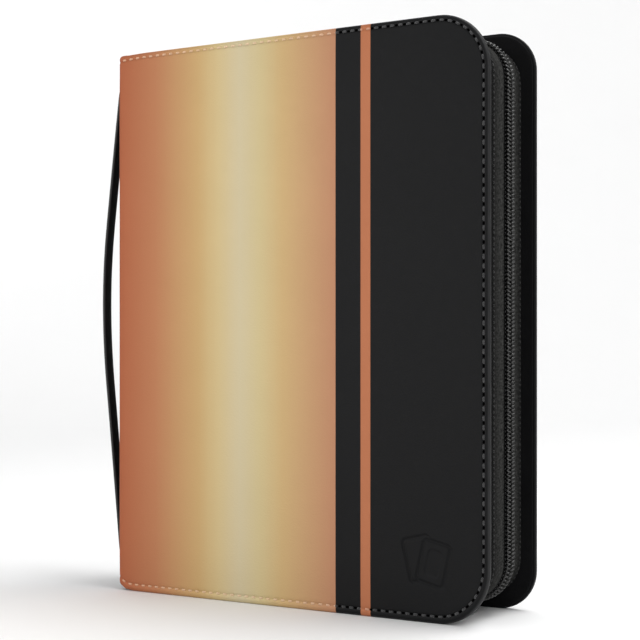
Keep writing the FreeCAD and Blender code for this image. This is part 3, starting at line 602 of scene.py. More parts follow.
def emblem(s, v):
    """Two fanned cards pressed into the leather: 1 in their lines, 0 elsewhere."""
    if abs(s - EMBLEM[0]) > 20 * MM or abs(v - EMBLEM[1]) > 21 * MM:
        return 0.0
    half, inner, corner, line = (8.6 * MM, 12.2 * MM), (4.6 * MM, 7.6 * MM), 2.2 * MM, 0.75 * MM
    near_centre, near_turn = (4.2 * MM, -0.8 * MM), math.radians(-13)
    near = card_distance(s, v, near_centre, half, corner, near_turn)
    far = card_distance(s, v, (-4.6 * MM, 1.2 * MM), half, corner, math.radians(14))
    pressed = 1 - smooth(line - 0.25 * MM, line + 0.3 * MM, abs(near))
    if near > line + 0.7 * MM:
        pressed = max(pressed, 1 - smooth(line - 0.25 * MM, line + 0.3 * MM, abs(far)))
    window = card_distance(s, v, near_centre, inner, corner, near_turn)
    return max(pressed, 0.45 * (1 - smooth(-0.2 * MM, 0.3 * MM, window)))


def sheet_thickness(s):
    return FOLD_SHEET + (COVER_SHEET - FOLD_SHEET) * smooth(6.2 * MM, PANEL_START, s)


def rounding(distance, reach, drop):
    if distance >= reach:
        return 0.0
    t = 1 - max(distance, 0) / reach
    return drop * (1 - math.sqrt(max(0.0, 1 - t * t)))


def outer_sink(s, v, side, pressed):
    """Depth of the outer face below the flat: rolled edge, stitch line, padding, emblem."""
    distance = edge_distance(s, v, side)
    thickness = sheet_thickness(s)
    sunk = 0.06 * MM + rounding(distance, 2.2 * MM, 0.4 * thickness)
    row = stitch_inset(v)
    sunk += 0.34 * MM * math.exp(-(((distance - row) / (0.8 * MM)) ** 2))
    sunk += 0.14 * MM * (1 - smooth(row, 22 * MM, distance))
    ripple = noise.noise(Vector((s, v, 0)) * 22) + 0.5 * noise.noise(Vector((v, s, 3)) * 60)
    sunk += 0.05 * MM * (1 + ripple) * smooth(0, 12 * MM, distance)
    if pressed:
        sunk += 0.5 * MM * emblem(s, v)
    return sunk


def stitch_inset(v):
    """The stitching runs a little further in along the lower edge than elsewhere."""
    return STITCH_INSET - STITCH_DRIFT * smooth(8 * MM, 42 * MM, v)


FOLD_LINES = (
    [-5.0 * MM, -3.4 * MM, -2.2 * MM]
    + split(-1.4 * MM, 2.6 * MM, 8)
    + [3.4 * MM, 4.4 * MM, 5.4 * MM, 6.4 * MM, 7.2 * MM, 8.0 * MM, 9.5 * MM, 12 * MM]
)


def cover_ring(inset, side):
    """The cover's outline, drawn in by inset, from the spine end round the fore edge."""
    corner = CORNER[side]
    centre, radius = WIDTH - corner, corner - inset
    straight = [FOLD_END] + FOLD_LINES + split(12 * MM, centre, 36)[1:]
    points = [(s, low_notch(s) + inset) for s in straight]
    for i in range(1, 17):
        angle = -math.pi / 2 * (1 - i / 16)
        points.append((centre + radius * math.cos(angle), corner + radius * math.sin(angle)))
    points += [(WIDTH - inset, v) for v in split(corner, HEIGHT - corner, 48)[1:-1]]
    for i in range(16):
        angle = math.pi / 2 * i / 16
        high = HEIGHT - corner + radius * math.sin(angle)
        points.append((centre + radius * math.cos(angle), high))
    points += [(s, HEIGHT - high_notch(s) - inset) for s in reversed(straight)]
    return points


def cover_interior(limit, side):
    columns = FOLD_LINES + steps(12 * MM, WIDTH - limit, 8 * MM)[1:-1]
    rows = steps(limit + 4 * MM, HEIGHT - limit - 4 * MM, 10 * MM)
    spots = [(s, v) for s in columns for v in rows]
    spots = [p for p in spots if edge_distance(*p, side) > limit + 2 * MM]
    if side == "front":
        fine, reach = 0.5 * MM, 19 * MM
        spots = [p for p in spots if max(abs(p[0] - EMBLEM[0]), abs(p[1] - EMBLEM[1])) > reach]
        dense = [
            (s, v)
            for s in steps(EMBLEM[0] - reach, EMBLEM[0] + reach, fine)
            for v in steps(EMBLEM[1] - reach, EMBLEM[1] + reach, fine)
        ]
        spots += [p for p in dense if edge_distance(*p, side) > limit + fine]
    return spots


def cover_shell(side):
    """One cover's leatherette, from the spine round the fold and over the board's edges."""
    insets = [0, 0.15, 0.45, 0.9, 1.5, 2.1, 2.7, 3.3, 3.8, 4.3, 4.8, 5.3, 6.0, 7.5, 10.0]
    insets = [i * MM for i in insets]
    ends = cover_ring(insets[-1], side)
    seam = [(FOLD_END, v) for v in split(ends[-1][1], ends[0][1], 34)[1:-1]]
    inside = cover_interior(insets[-1], side)
    flat, faces, loop = ringed_net(lambda i: cover_ring(i, side), insets, inside, seam)
    outer, inner, wear_and_sheen = [], [], []
    for s, v in flat:
        distance = edge_distance(s, v, side)
        # A pale line where the rolled edge turns: edge wear with a painted highlight on it.
        wear_and_sheen.append((1 - smooth(0.3 * MM, 1.2 * MM, distance)) * smooth(-0.3 * MM, 0.3 * MM, distance))
        outer.append(leather_point(s, v, outer_sink(s, v, side, side == "front"), side))
        thickness = sheet_thickness(s)
        lift = rounding(distance, 0.8 * MM, 0.15 * thickness)
        inner.append(leather_point(s, v, thickness - lift, side))
    points, faces = closed_sheet(outer, inner, faces, loop)
    replaced = [f"{side}_cover_skin", f"{side}_fold"]
    if side == "front":
        replaced += ["foil_panel", "foil_stripe"]
    material = "foil" if side == "front" else "black"
    made = piece(
        f"{side}_cover_leather", points, faces, material, flat + flat,
        replaces=replaced, slot="black_leatherette",
    )
    add_measure(made, "wear_and_sheen", wear_and_sheen + [0.0] * len(wear_and_sheen))
    bend_over_fold(made, side)


def bend_over_fold(made, side):
    spine_end = leather_point(FOLD_END, HEIGHT / 2, 0, side)
    cover_end = leather_point(PANEL_START, HEIGHT / 2, 0, side)
    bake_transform(made)


# ---------------------------------------------------------------- stitching


def stitch_row(name, spots, outward, material, pitch=5.1 * MM, share=0.56, radius=0.46 * MM, **kwargs):
    """Stitches along a row of points. outward(i) gives the face's normal at a point."""
    along = lengths(spots)
    total = along[-1]
    count = round(total / pitch)
    points, faces, rest, across = [], [], [], []

    def at(distance):
        i, t = place_on(along, min(max(distance, 0), total))
        normal = outward(i - 1).lerp(outward(i), t).normalized()
        return Vector(spots[i - 1]).lerp(Vector(spots[i]), t), normal

    profile = [(-0.5, -0.9, 0.5), (-0.42, 0.0, 0.85), (-0.25, 0.55, 1.0), (0.0, 0.7, 1.0)]
    profile += [(-a, b, c) for a, b, c in reversed(profile[:-1])]
    sides = 6
    for n in range(count):
        middle = (n + 0.5) * total / count
        skew = 0.05 * MM * math.sin(n * 2.3)
        start = len(points)
        for part_along, lift, thick in profile:
            distance = middle + part_along * share * pitch + skew
            spot, normal = at(distance)
            ahead, _ = at(distance + 0.3 * MM)
            behind, _ = at(distance - 0.3 * MM)
            direction = (ahead - behind).normalized()
            aside = direction.cross(normal).normalized()
            spot = spot + normal * lift * radius
            for k in range(sides):
                angle = 2 * math.pi * k / sides
                offset = aside * math.cos(angle) * 1.15 + normal * math.sin(angle) * 0.85
                points.append(spot + offset * radius * thick)
                rest.append((distance, k / sides))
                across.append(spot[0] - SPINE_X)
        faces += tube(start, len(profile), sides)
    made = piece(name, points, faces, material, rest, **kwargs)
    add_measure(made, "across", across)
    return made


def needle_hole_shadows(name, spots, outward, pitch, skip, radius=0.85 * MM, **kwargs):
    """Small black marks between the stitches, set just proud of the leather: needle holes, with painted
    shadow standing in for the shade in them and in the groove where the thread pulls the leather down.

    There are none nearer the spine than skip, where the foil hides them.
    """
    along = lengths(spots)
    total = along[-1]
    count = round(total / pitch)
    profile = [(1.0, 0.16), (0.88, 0.24), (0.6, 0.16), (0.15, 0.08)]  # share of radius, mm proud
    sides = 10
    points, faces, rest = [], [], []
    for n in range(1, count):
        distance = n * total / count
        i, t = place_on(along, distance)
        spot = Vector(spots[i - 1]).lerp(Vector(spots[i]), t)
        if spot.x - SPINE_X < skip or STRIPE[0] < spot.x - SPINE_X < STRIPE[1]:
            continue
        direction = (Vector(spots[i]) - Vector(spots[i - 1])).normalized()
        aside = direction.cross(outward).normalized()
        start = len(points)
        for size, lift in profile:
            for k in range(sides):
                angle = 2 * math.pi * k / sides
                offset = direction * math.cos(angle) * 1.15 + aside * math.sin(angle) * 0.9
                points.append(spot + offset * radius * size + outward * lift * MM)
                rest.append((distance, k / sides))
        faces += tube(start, len(profile), sides)
    return piece(name, points, faces, "hole_shadow", rest, **kwargs)


def cover_stitching(side):
    steps_out = 12
    rows = [cover_ring(STITCH_INSET - STITCH_DRIFT * k / steps_out, side) for k in range(steps_out + 1)]
    kept = [i for i, p in enumerate(rows[0]) if p[0] > FOLD]
    flat = []
    for i in kept:
        share = (STITCH_INSET - stitch_inset(rows[0][i][1])) / STITCH_DRIFT * steps_out
        low = min(steps_out - 1, int(share))
        a, b = rows[low][i], rows[low + 1][i]
        t = share - low
        flat.append((a[0] + (b[0] - a[0]) * t, a[1] + (b[1] - a[1]) * t))
    outward = Vector((0, -1 if side == "front" else 1, 0))
    spots = [leather_point(s, v, outer_sink(s, v, side, False), side) for s, v in flat]
    material = "front_thread" if side == "front" else "thread"
    made = stitch_row(
        f"{side}_cover_stitches", spots, lambda i: outward, material, pitch=STITCH,
        radius=0.56 * MM, slot="black_leatherette",
    )
    bend_over_fold(made, side)
    skip = PANEL_END if side == "front" else 0
    hole_shadows = needle_hole_shadows(f"{side}_needle_hole_shadows", spots, outward, STITCH, skip, slot="black_leatherette")
    bend_over_fold(hole_shadows, side)


# ---------------------------------------------------------------- flat panels and linings


def slab(name, width, height, radii, thickness, place, material, edge=0.5 * MM, step=12 * MM, **kwargs):
    """A flat sheet with rolled edges. place(a, b, sunk) puts a point of it in the row frame.

    radii are for the corners (far, low), (far, high); the near corners stay square.
    """
    low_radius, high_radius = radii
    counts = [max(2, math.ceil(size / step)) for size in (width, height)]

    def turn(radius, inset, high):
        """A far corner's points: an arc, or the corner itself when it is square."""
        level = height if high else 0
        sign = 1 if high else -1
        if not radius:
            return [(width - inset, level - sign * inset)]
        angles = [math.pi / 2 * i / 12 for i in range(13)]
        angles = angles if high else [a - math.pi / 2 for a in angles]
        reach, middle = radius - inset, (width - radius, level - sign * radius)
        return [(middle[0] + reach * math.cos(a), middle[1] + reach * math.sin(a)) for a in angles]

    def ring(inset):
        low_turn, high_turn = turn(low_radius, inset, False), turn(high_radius, inset, True)
        points = [(a, inset) for a in split(inset, low_turn[0][0], counts[0])[:-1]] + low_turn
        points += [(width - inset, b) for b in split(low_turn[-1][1], high_turn[0][1], counts[1])[1:-1]]
        points += high_turn
        points += [(a, height - inset) for a in split(high_turn[-1][0], inset, counts[0])[1:]]
        points += [(inset, b) for b in split(height - inset, inset, counts[1])[1:-1]]
        return points

    insets = [0, edge * 0.3, edge, 2.4 * edge + 0.6 * MM]
    columns = steps(insets[-1], width - insets[-1], step)[1:-1]
    rows = steps(insets[-1], height - insets[-1], step)[1:-1]
    keep = max(low_radius, high_radius) * 0.3 + insets[-1]
    interior = [(a, b) for a in columns for b in rows if a < width - keep or keep < b < height - keep]
    flat, faces, loop = ringed_net(ring, insets, interior)
    outer, inner = [], []
    for index, (a, b) in enumerate(flat):
        row = index // len(loop)
        inset = insets[row] if row < len(insets) else insets[-1]
        drop = rounding(inset, edge, min(edge, thickness * 0.45))
        outer.append(place(a, b, drop))
        inner.append(place(a, b, thickness - drop * 0.5))
    points, faces = closed_sheet(outer, inner, faces, loop)
    return piece(name, points, faces, material, flat + flat, **kwargs)


def lining(side):
    low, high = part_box(f"{side}_cover_lining")
    thickness = high[1] - low[1]
    face = high[1] if side == "front" else low[1]
    inward = -1 if side == "front" else 1

    def place(a, b, sunk):
        wave = 0.04 * MM * noise.noise(Vector((a, b, 7)) * 30)
        return Vector((low[0] + a, face + inward * (sunk + wave + 0.05 * MM), low[2] + b))

    radius = CORNER[side] - low[2]
    size = (high[0] - low[0], high[2] - low[2])
    cloth = slab(
        f"{side}_lining_cloth", *size, (radius, radius), thickness, place, "lining",
        body=f"{side}_cover", replaces=[f"{side}_cover_lining"], slot="lining_cloth",
    )


def spine_pieces():
    def outside(a, b, sunk):
        distance = min(b, HEIGHT - b)
        sink = rounding(distance, 2.4 * MM, 1.7 * MM) + 0.06 * MM
        sink += 0.34 * MM * math.exp(-(((distance - STITCH_INSET) / (0.8 * MM)) ** 2))
        depth = sink if sunk < COVER_SHEET / 2 else sunk - sink * 0.4
        return Vector((SPINE_X + depth, spine_low[1] + a, b))

    def inside(a, b, sunk):
        return Vector((lining_high[0] - sunk, lining_low[1] + a, lining_low[2] + b))

    width = spine_high[1] - spine_low[1]
    ends = [0, 0.15, 0.5, 1.0, 1.6, 2.2, 2.8, 3.3, 3.8, 4.3, 4.8, 5.4, 6.2, 8.0]
    ends = [e * MM for e in ends]
    rows = ends + steps(8 * MM, HEIGHT - 8 * MM, 12 * MM)[1:-1] + [HEIGHT - e for e in reversed(ends)]
    flat, faces, loop = grid(steps(0, width, 6 * MM), rows)
    outer, inner = [[outside(a, b, sunk) for a, b in flat] for sunk in (0.0, COVER_SHEET)]
    points, faces = closed_sheet(outer, inner, faces, loop)
    piece(
        "spine_leather", points, faces, "black", flat + flat, "spine", ["spine_skin"],
        "black_leatherette",
    )
    lining_low, lining_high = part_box("spine_lining")
    size = (lining_high[1] - lining_low[1], lining_high[2] - lining_low[2])
    cloth = slab(
        "spine_lining_cloth", *size, (0, 0), lining_high[0] - lining_low[0], inside, "lining",
        body="spine", replaces=["spine_lining"], slot="lining_cloth",
    )
    for name, v in (("lower", STITCH_INSET), ("upper", HEIGHT - STITCH_INSET)):
        spots = [outside(a, v, 0.0) for a in steps(1 * MM, width - 1 * MM, 4 * MM)]
        stitch_row(
            f"spine_stitches_{name}", spots, lambda i: Vector((-1, 0, 0)), "thread",
            body="spine", slot="black_leatherette",
        )


def fold_lining(side):
    """The strip of lining that bridges the inside of a fold, slack while the case is closed."""
    low, high = 10.5 * MM, HEIGHT - 10.5 * MM
    path = [
        (14.0, 5.12), (12.5, 5.14), (11.0, 5.2), (9.6, 5.35), (8.4, 5.65), (7.3, 6.15), (6.6, 6.6),
        (6.15, 7.3), (5.65, 8.4), (5.35, 9.6), (5.2, 11.0), (5.14, 12.5), (5.12, 14.0),
    ]
    path = [(a * MM, b * MM) for a, b in path]
    along = lengths([Vector((a, b, 0)) for a, b in path])
    flat, faces, loop = grid(range(len(path)), steps(low, high, 10 * MM))
    thickness = 0.45 * MM
    outer, inner, rest = [], [], []
    for i, v in flat:
        a, b = path[i]
        before, after = path[max(i - 1, 0)], path[min(i + 1, len(path) - 1)]
        tangent = Vector((after[0] - before[0], after[1] - before[1])).normalized()
        away = Vector((-tangent.y, tangent.x))
        if away.dot(Vector((1, 1))) < 0:
            away = -away
        for sheet, target in ((0.0, inner), (thickness, outer)):
            x, depth = a + away.x * sheet, b + away.y * sheet
            target.append(Vector((SPINE_X + x, case_y(depth, side), v)))
        rest.append((along[i], v))
    points, faces = closed_sheet(outer, inner, faces, loop)
    made = piece(f"{side}_fold_lining", points, faces, "lining", rest + rest, slot="lining_cloth")
    near, far = 5 * MM, 9.5 * MM  # the bend lies between these depths from either outer face
    start = Vector((SPINE_X + far, case_y(near, side), HEIGHT / 2))
    end = Vector((SPINE_X + near, case_y(far, side), HEIGHT / 2))
    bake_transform(made)


# ---------------------------------------------------------------- zip and gusset


def u_path(start, inset, corner_step, straight_step):
    """Round three sides of the case: points and outward directions."""
    corner = CORNER["front"]
    radius, centre = corner - inset, WIDTH - corner
    spots = [(a, inset, 0, -1) for a in steps(start, centre, straight_step)]
    turns = max(6, math.ceil(radius * math.pi / 2 / corner_step))
    for i in range(1, turns):
        angle = -math.pi / 2 * (1 - i / turns)
        c, n = math.cos(angle), math.sin(angle)
        spots.append((centre + radius * c, corner + radius * n, c, n))
    spots += [(WIDTH - inset, b, 1, 0) for b in steps(corner, HEIGHT - corner, straight_step)]
    for i in range(1, turns):
        angle = math.pi / 2 * i / turns
        c, n = math.cos(angle), math.sin(angle)
        spots.append((centre + radius * c, HEIGHT - corner + radius * n, c, n))
    spots += [(a, HEIGHT - inset, 0, 1) for a in reversed(steps(start, centre, straight_step))]
    points = [Vector((SPINE_X + a, 0, b)) for a, b, _, _ in spots]
    outward = [Vector((c, 0, n)) for _, _, c, n in spots]
    return points, outward


def u_band(name, node, body, material, section, slot, ripple):
    """A band round three sides. section holds (distance back, distance out) pairs."""
    low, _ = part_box(node)
    points, outward = u_path(low[0] - SPINE_X, low[2], 2.5 * MM, 6 * MM)
    along = lengths(points)
    made, rest = [], []
    back = Vector((0, 1, 0))
    edge = lengths([Vector((a, b, 0)) for a, b in section])
    for i, (spot, out) in enumerate(zip(points, outward)):
        wave = ripple * noise.noise(Vector((along[i] * 26, 0, 5)))
        for j, (a, b) in enumerate(section):
            soft = wave * math.sin(math.pi * j / len(section))
            made.append(spot + back * a + out * (b + soft))
            rest.append((along[i], edge[j]))
    faces = tube(0, len(points), len(section))
    band = piece(name, made, faces, material, rest, body, [node], slot)


def band_section(near, far, inner, outer, edge=0.25 * MM, crown=0.0):
    """A thin flat strip's section with soft edges, slightly crowned outside."""
    span = far - near
    section = [(near + span * t, outer + crown * math.sin(math.pi * t)) for t in steps(0.04, 0.96, 0.14)]
    section += [(far, outer - edge), (far, inner + edge)]
    section += [(near + span * t, inner) for t in steps(0.96, 0.04, 0.3)]
    section += [(near, inner + edge), (near, outer - edge)]
    return section


def band_stitches(name, node, start, row, pitch, radius, lift=0.0, **kwargs):
    """A row of dark stitches along a band, from start on, at one distance back."""
    low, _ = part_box(node)
    path, outward = u_path(low[0] - SPINE_X + start, low[2], 2.0 * MM, 4 * MM)
    seam = [p + Vector((0, row, 0)) + o * lift for p, o in zip(path, outward)]
    stitch_row(name, seam, lambda i: outward[i], "dark_thread", pitch, radius=radius, **kwargs)


def zip_and_gusset():
    low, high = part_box("front_gusset")
    sheet = 1.0 * MM
    section = band_section(low[1] - 0.1 * MM, high[1] - 1.2 * MM, -sheet, -0.05 * MM, crown=0.1 * MM)
    u_band(
        "gusset_twill_band", "front_gusset", "front_cover", "gusset", section, "gusset_cloth",
        ripple=0.12 * MM,
    )
    band_stitches(
        "gusset_stitches", "front_gusset", 1 * MM, high[1] - 2.9 * MM, 3.2 * MM, 0.26 * MM,
        lift=0.02 * MM, body="front_cover", slot="gusset_cloth",
    )
    for side in ("front", "back"):
        tape, body = f"{side}_zip_tape", f"{side}_cover"
        low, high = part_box(tape)
        section = band_section(low[1], high[1], -0.7 * MM, -0.02 * MM, edge=0.15 * MM)
        u_band(f"{tape}_twill", tape, body, f"{side}_tape", section, "zip_twill", ripple=0.1 * MM)
        zip_coil(side, low[2])
        row = high[1] - 4.1 * MM if side == "front" else low[1] + 4.1 * MM
        band_stitches(
            f"{side}_coil_stitches", tape, 3 * MM, row, 2.4 * MM, 0.2 * MM,
            body=body, slot="zip_twill",
        )
    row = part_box("back_zip_tape")[1][1] - 2.5 * MM
    band_stitches(
        "back_tape_stitches", "back_zip_tape", 1 * MM, row, 3.2 * MM, 0.24 * MM,
        body="back_cover", slot="zip_twill",
    )


def zip_coil(side, tape_inset):
    """One nylon coil, its loops meshing with the other side's in the middle of the chain."""
    low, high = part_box(f"{side}_zip_coil")
    pitch, wire = 2.33 * MM, 0.5 * MM
    lean = 1 if side == "front" else -1
    centre_y = (low[1] + high[1]) / 2 - lean * 0.47 * MM
    half_width, half_height = 1.58 * MM, 0.75 * MM
    rise = half_height + wire + 0.05 * MM
    path, outward = u_path(low[0] - SPINE_X, tape_inset, 1.2 * MM, 3 * MM)
    along = lengths(path)
    turns = int(along[-1] / pitch) - 1
    per_turn, sides = 14, 6
    shift = 0.0 if side == "front" else 0.5
    centres = []
    for n in range(turns * per_turn + 1):
        phase = n / per_turn
        distance = (phase + shift) * pitch
        i, t = place_on(along, distance)
        spot = path[i - 1].lerp(path[i], t)
        out = outward[i - 1].lerp(outward[i], t).normalized()
        angle = 2 * math.pi * phase
        across = half_width * math.cos(angle) * lean
        head = 1.1 if math.cos(angle) > 0.6 else 1.0  # the loops are a little fuller where they mesh
        up = rise + half_height * math.sin(angle) * head
        centres.append((spot + Vector((0, centre_y + across, 0)) + out * up, distance))
    points, rest = [], []
    for i, (spot, distance) in enumerate(centres):
        ahead = centres[min(i + 1, len(centres) - 1)][0] - centres[max(i - 1, 0)][0]
        ahead.normalize()
        aside = ahead.cross(Vector((0.3, 0.2, 0.9))).normalized()
        up = aside.cross(ahead)
        for j in range(sides):
            angle = 2 * math.pi * j / sides
            points.append(spot + (aside * math.cos(angle) + up * math.sin(angle)) * wire)
            rest.append((distance * 6, j / sides * 0.002))
    piece(
        f"{side}_zip_coil_nylon", points, tube(0, len(centres), sides), "coil", rest,
        f"{side}_cover", [f"{side}_zip_coil"], "zip_nylon",
    )


def bevelled(name, outlines, material, body, replaces, slot, bevel=0.25 * MM):
    """Extruded outlines joined into one piece, with every edge softened.

    Each outline is (points, direction, depth), its points already in the row frame.
    """
    points, faces = [], []
    for corners, direction, depth in outlines:
        start, count = len(points), len(corners)
        move = Vector(direction) * depth
        points += [Vector(c) for c in corners] + [Vector(c) + move for c in corners]
        faces.append(tuple(start + i for i in range(count)))
        faces.append(tuple(start + count + i for i in reversed(range(count))))
        for i in range(count):
            j = (i + 1) % count
            faces.append((start + i, start + j, start + count + j, start + count + i))
    made = piece(name, points, faces, material, None, body, replaces, slot)
    rounder = made.modifiers.new("Bevel", "BEVEL")
    rounder.width = bevel
    rounder.segments = 3
    rounder.limit_method = "ANGLE"
    rounder.angle_limit = math.radians(40)
    return made


def slider_and_pull():
    """The slider's two plates, crown, post and lip, and the pull with its pin through the crown.

    Outlines are in mm. The arm, the frame and the arch start from the slider's middle, the post and
    the lip from its spine end. They go out from the chain's centre line, the arch up from plate_z.
    """
    low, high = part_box("zip_slider")
    pull_low, pull_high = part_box("zip_pull")
    x0, mid = low[0], (low[0] + high[0]) / 2
    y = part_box("back_zip_tape")[0][1] - 0.6 * MM
    plate_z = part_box("back_zip_coil")[1][2] + 0.25 * MM
    length, half = high[0] - low[0], (high[1] - low[1]) / 2
    up, across = (0, 0, 1), (0, 1, 0)

    def shield(z):
        """The slider's plan: broad shoulders at the open end, narrower where the zip closes."""
        shape = [(0, 0.55), (0.12, 0.8), (0.35, 1.0), (0.62, 0.96), (0.8, 0.74), (1.0, 0.66)]
        shape += [(a, -b) for a, b in reversed(shape)]
        return [(x0 + length * a, y + half * b, z) for a, b in shape]

    def plan(outline, x, side, z):
        return [(x + a * MM, y + side * b * MM, z) for a, b in outline]

    plate, crown_half = 1.2 * MM, 1.5 * MM
    arch = [
        (-3.5, 1.0), (-3.3, 3.2), (-2.4, 4.1), (-1.0, 4.4), (1.4, 4.4), (2.7, 4.0),
        (3.5, 2.9), (3.5, 1.0), (2.3, 1.0), (1.9, 3.15), (-1.3, 3.55), (-1.9, 1.0),
    ]
    arch = [(mid + a * MM, y - crown_half, plate_z + b * MM) for a, b in arch]
    post = plan([(0.3, -0.22), (3.0, -0.16), (3.0, 0.16), (0.3, 0.22)], x0, 1, low[2] + 1 * MM)
    lip = plan([(2.2, 4.6), (8.5, 4.6), (8.5, 5.8), (4, 5.8)], x0, 1, 0)
    lip_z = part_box("back_zip_tape")[1][2] + 0.3 * MM
    lip = [(x, yy, lip_z) for x, yy, _ in lip]
    body = [
        (shield(plate_z), up, plate), (shield(low[2]), up, plate), (arch, across, crown_half * 2),
        (post, up, plate_z - low[2] - 0.8 * MM), (lip, up, 2.4 * MM),
    ]
    bevelled("slider_body", body, "enamel", "zip_slider", ["zip_slider"], "black_metal")

    sheet, arm_out, pin_radius = 0.62 * MM, 3.6, 0.85 * MM
    pin_z = (pull_low[2] + pull_high[2]) / 2
    arm = [(-1.2, 2.1), (7.2, 2.1), (7.2, arm_out), (-0.4, arm_out), (-1.2, arm_out - 0.8)]
    frame_half = [
        (4.3, arm_out), (7.3, 4.5), (27.0, 4.5), (29.4, 3.3), (30.4, 1.5), (30.4, 0), (27.4, 0),
        (27.4, 1.3), (26.0, 2.4), (8.5, 2.4), (6.9, 1.2), (6.9, 0), (4.3, 0),
    ]
    pull = [
        (plan(outline, mid, side, pin_z - sheet), up, sheet * 2)
        for outline in (arm, frame_half)
        for side in (-1, 1)
    ]
    turns = [2 * math.pi * i / 14 for i in range(14)]
    pin = [
        (mid + pin_radius * math.cos(a), y - arm_out * MM, pin_z + pin_radius * math.sin(a))
        for a in turns
    ]
    pull.append((pin, across, arm_out * 2 * MM))
    bevelled("pull_tab", pull, "enamel", "zip_pull", ["zip_pull"], "black_metal", 0.2 * MM)


def webs():
    """The two soft ends that close the gusset at the spine."""
    for name in ("lower", "upper"):
        low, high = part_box(f"spine_web_{name}")
        outward = -1 if name == "lower" else 1
        face = low[2] if name == "lower" else high[2]
        width, depth = high[0] - low[0], high[1] - low[1]

        def place(a, b, sunk):
            sag = 1.1 * MM * math.sin(math.pi * b / depth) ** 2 * smooth(0, width, a)
            return Vector((low[0] + a, low[1] + b, face - outward * (sunk + sag)))

        slab(
            f"gusset_end_{name}", width, depth, (1.5 * MM, 1.5 * MM), high[2] - low[2], place, "web",
            step=3 * MM, body="spine", replaces=[f"spine_web_{name}"], slot="gusset_cloth",
        )


# ---------------------------------------------------------------- strap


def strap():
    low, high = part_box("carry_strap")
    width, sheet, sewn = high[1] - low[1], 2.2 * MM, 9 * MM
    bow = SPINE_X - low[0] - sheet
    middle = (low[2] + high[2]) / 2
    half = (high[2] - low[2]) / 2 - sewn
    heights = steps(-half - sewn, half + sewn, 3 * MM)
    crown, ramp, rise = 52 * MM, half - 11 * MM, 4.4 * MM
    slope = (bow - rise) / (ramp - crown / 2)

    def stand_off(z):
        """The strap's inner face to the spine. It bows most a little above its middle."""
        z = abs(z - 12 * MM * max(0.0, 1 - (z / half) ** 2))
        if z > half:
            return 0.05 * MM
        if z > ramp:
            return rise * smooth(half, ramp, z) + 0.05 * MM
        if z > crown:
            return rise + (ramp - z) * slope
        return rise + (ramp - crown) * slope + slope * crown / 2 * (1 - (z / crown) ** 2)

    offs = [stand_off(z) for z in heights]
    for _ in range(3):
        softer = [(a + 2 * b + c) / 4 for a, b, c in zip(offs, offs[1:], offs[2:])]
        offs = [offs[0]] + softer + [offs[-1]]
    centres = [
        Vector((SPINE_X - off - sheet / 2, low[1] + width / 2, middle + z))
        for off, z in zip(offs, heights)
    ]
    section = rounded_section(width - 0.1 * MM, sheet - 0.05 * MM, 0.95 * MM, 4)
    aside, points = Vector((0, 1, 0)), []
    for i, centre in enumerate(centres):
        ahead = (centres[min(i + 1, len(centres) - 1)] - centres[max(i - 1, 0)]).normalized()
        away = ahead.cross(aside).normalized()
        points += [centre + aside * a + away * b for a, b in section]
    faces = tube(0, len(centres), len(section))
    along, around = lengths(centres), lengths([Vector((a, b, 0)) for a, b in section])
    rest = [(a, b) for a in along for b in around]
    made = piece("strap_leather", points, faces, "strap", rest, "spine", ["carry_strap"], "strap_leather")
    # The folded edges are paler in patches: wear with a painted highlight along them.
    folded_edge = [abs(a) > width / 2 - 0.75 * MM and abs(b) > 0.3 * sheet for a, b in section]
    wear_and_sheen = []
    for place in along:
        rub = 0.65 + 0.9 * noise.noise(Vector((place * 130, 0, 3)))
        wear_and_sheen += [max(0.0, rub) if edge else 0.0 for edge in folded_edge]
    add_measure(made, "wear_and_sheen", wear_and_sheen)
    near, far, first, last = 1.3 * MM, width - 1.3 * MM, half + 1.0 * MM, half + 7.6 * MM
    square = [(near, first), (near, last), (far, last), (far, first), (near, first)]
    for name, sign in (("lower", -1), ("upper", 1)):
        spots = [
            Vector((SPINE_X - sheet - 0.02 * MM, low[1] + a, middle + sign * z)) for a, z in square
        ]
        stitch_row(
            f"strap_stitches_{name}", spots, lambda i: Vector((-1, 0, 0)), "thread",
            pitch=2.2 * MM, radius=0.24 * MM, body="spine", slot="strap_leather",
        )


# ---------------------------------------------------------------- pages


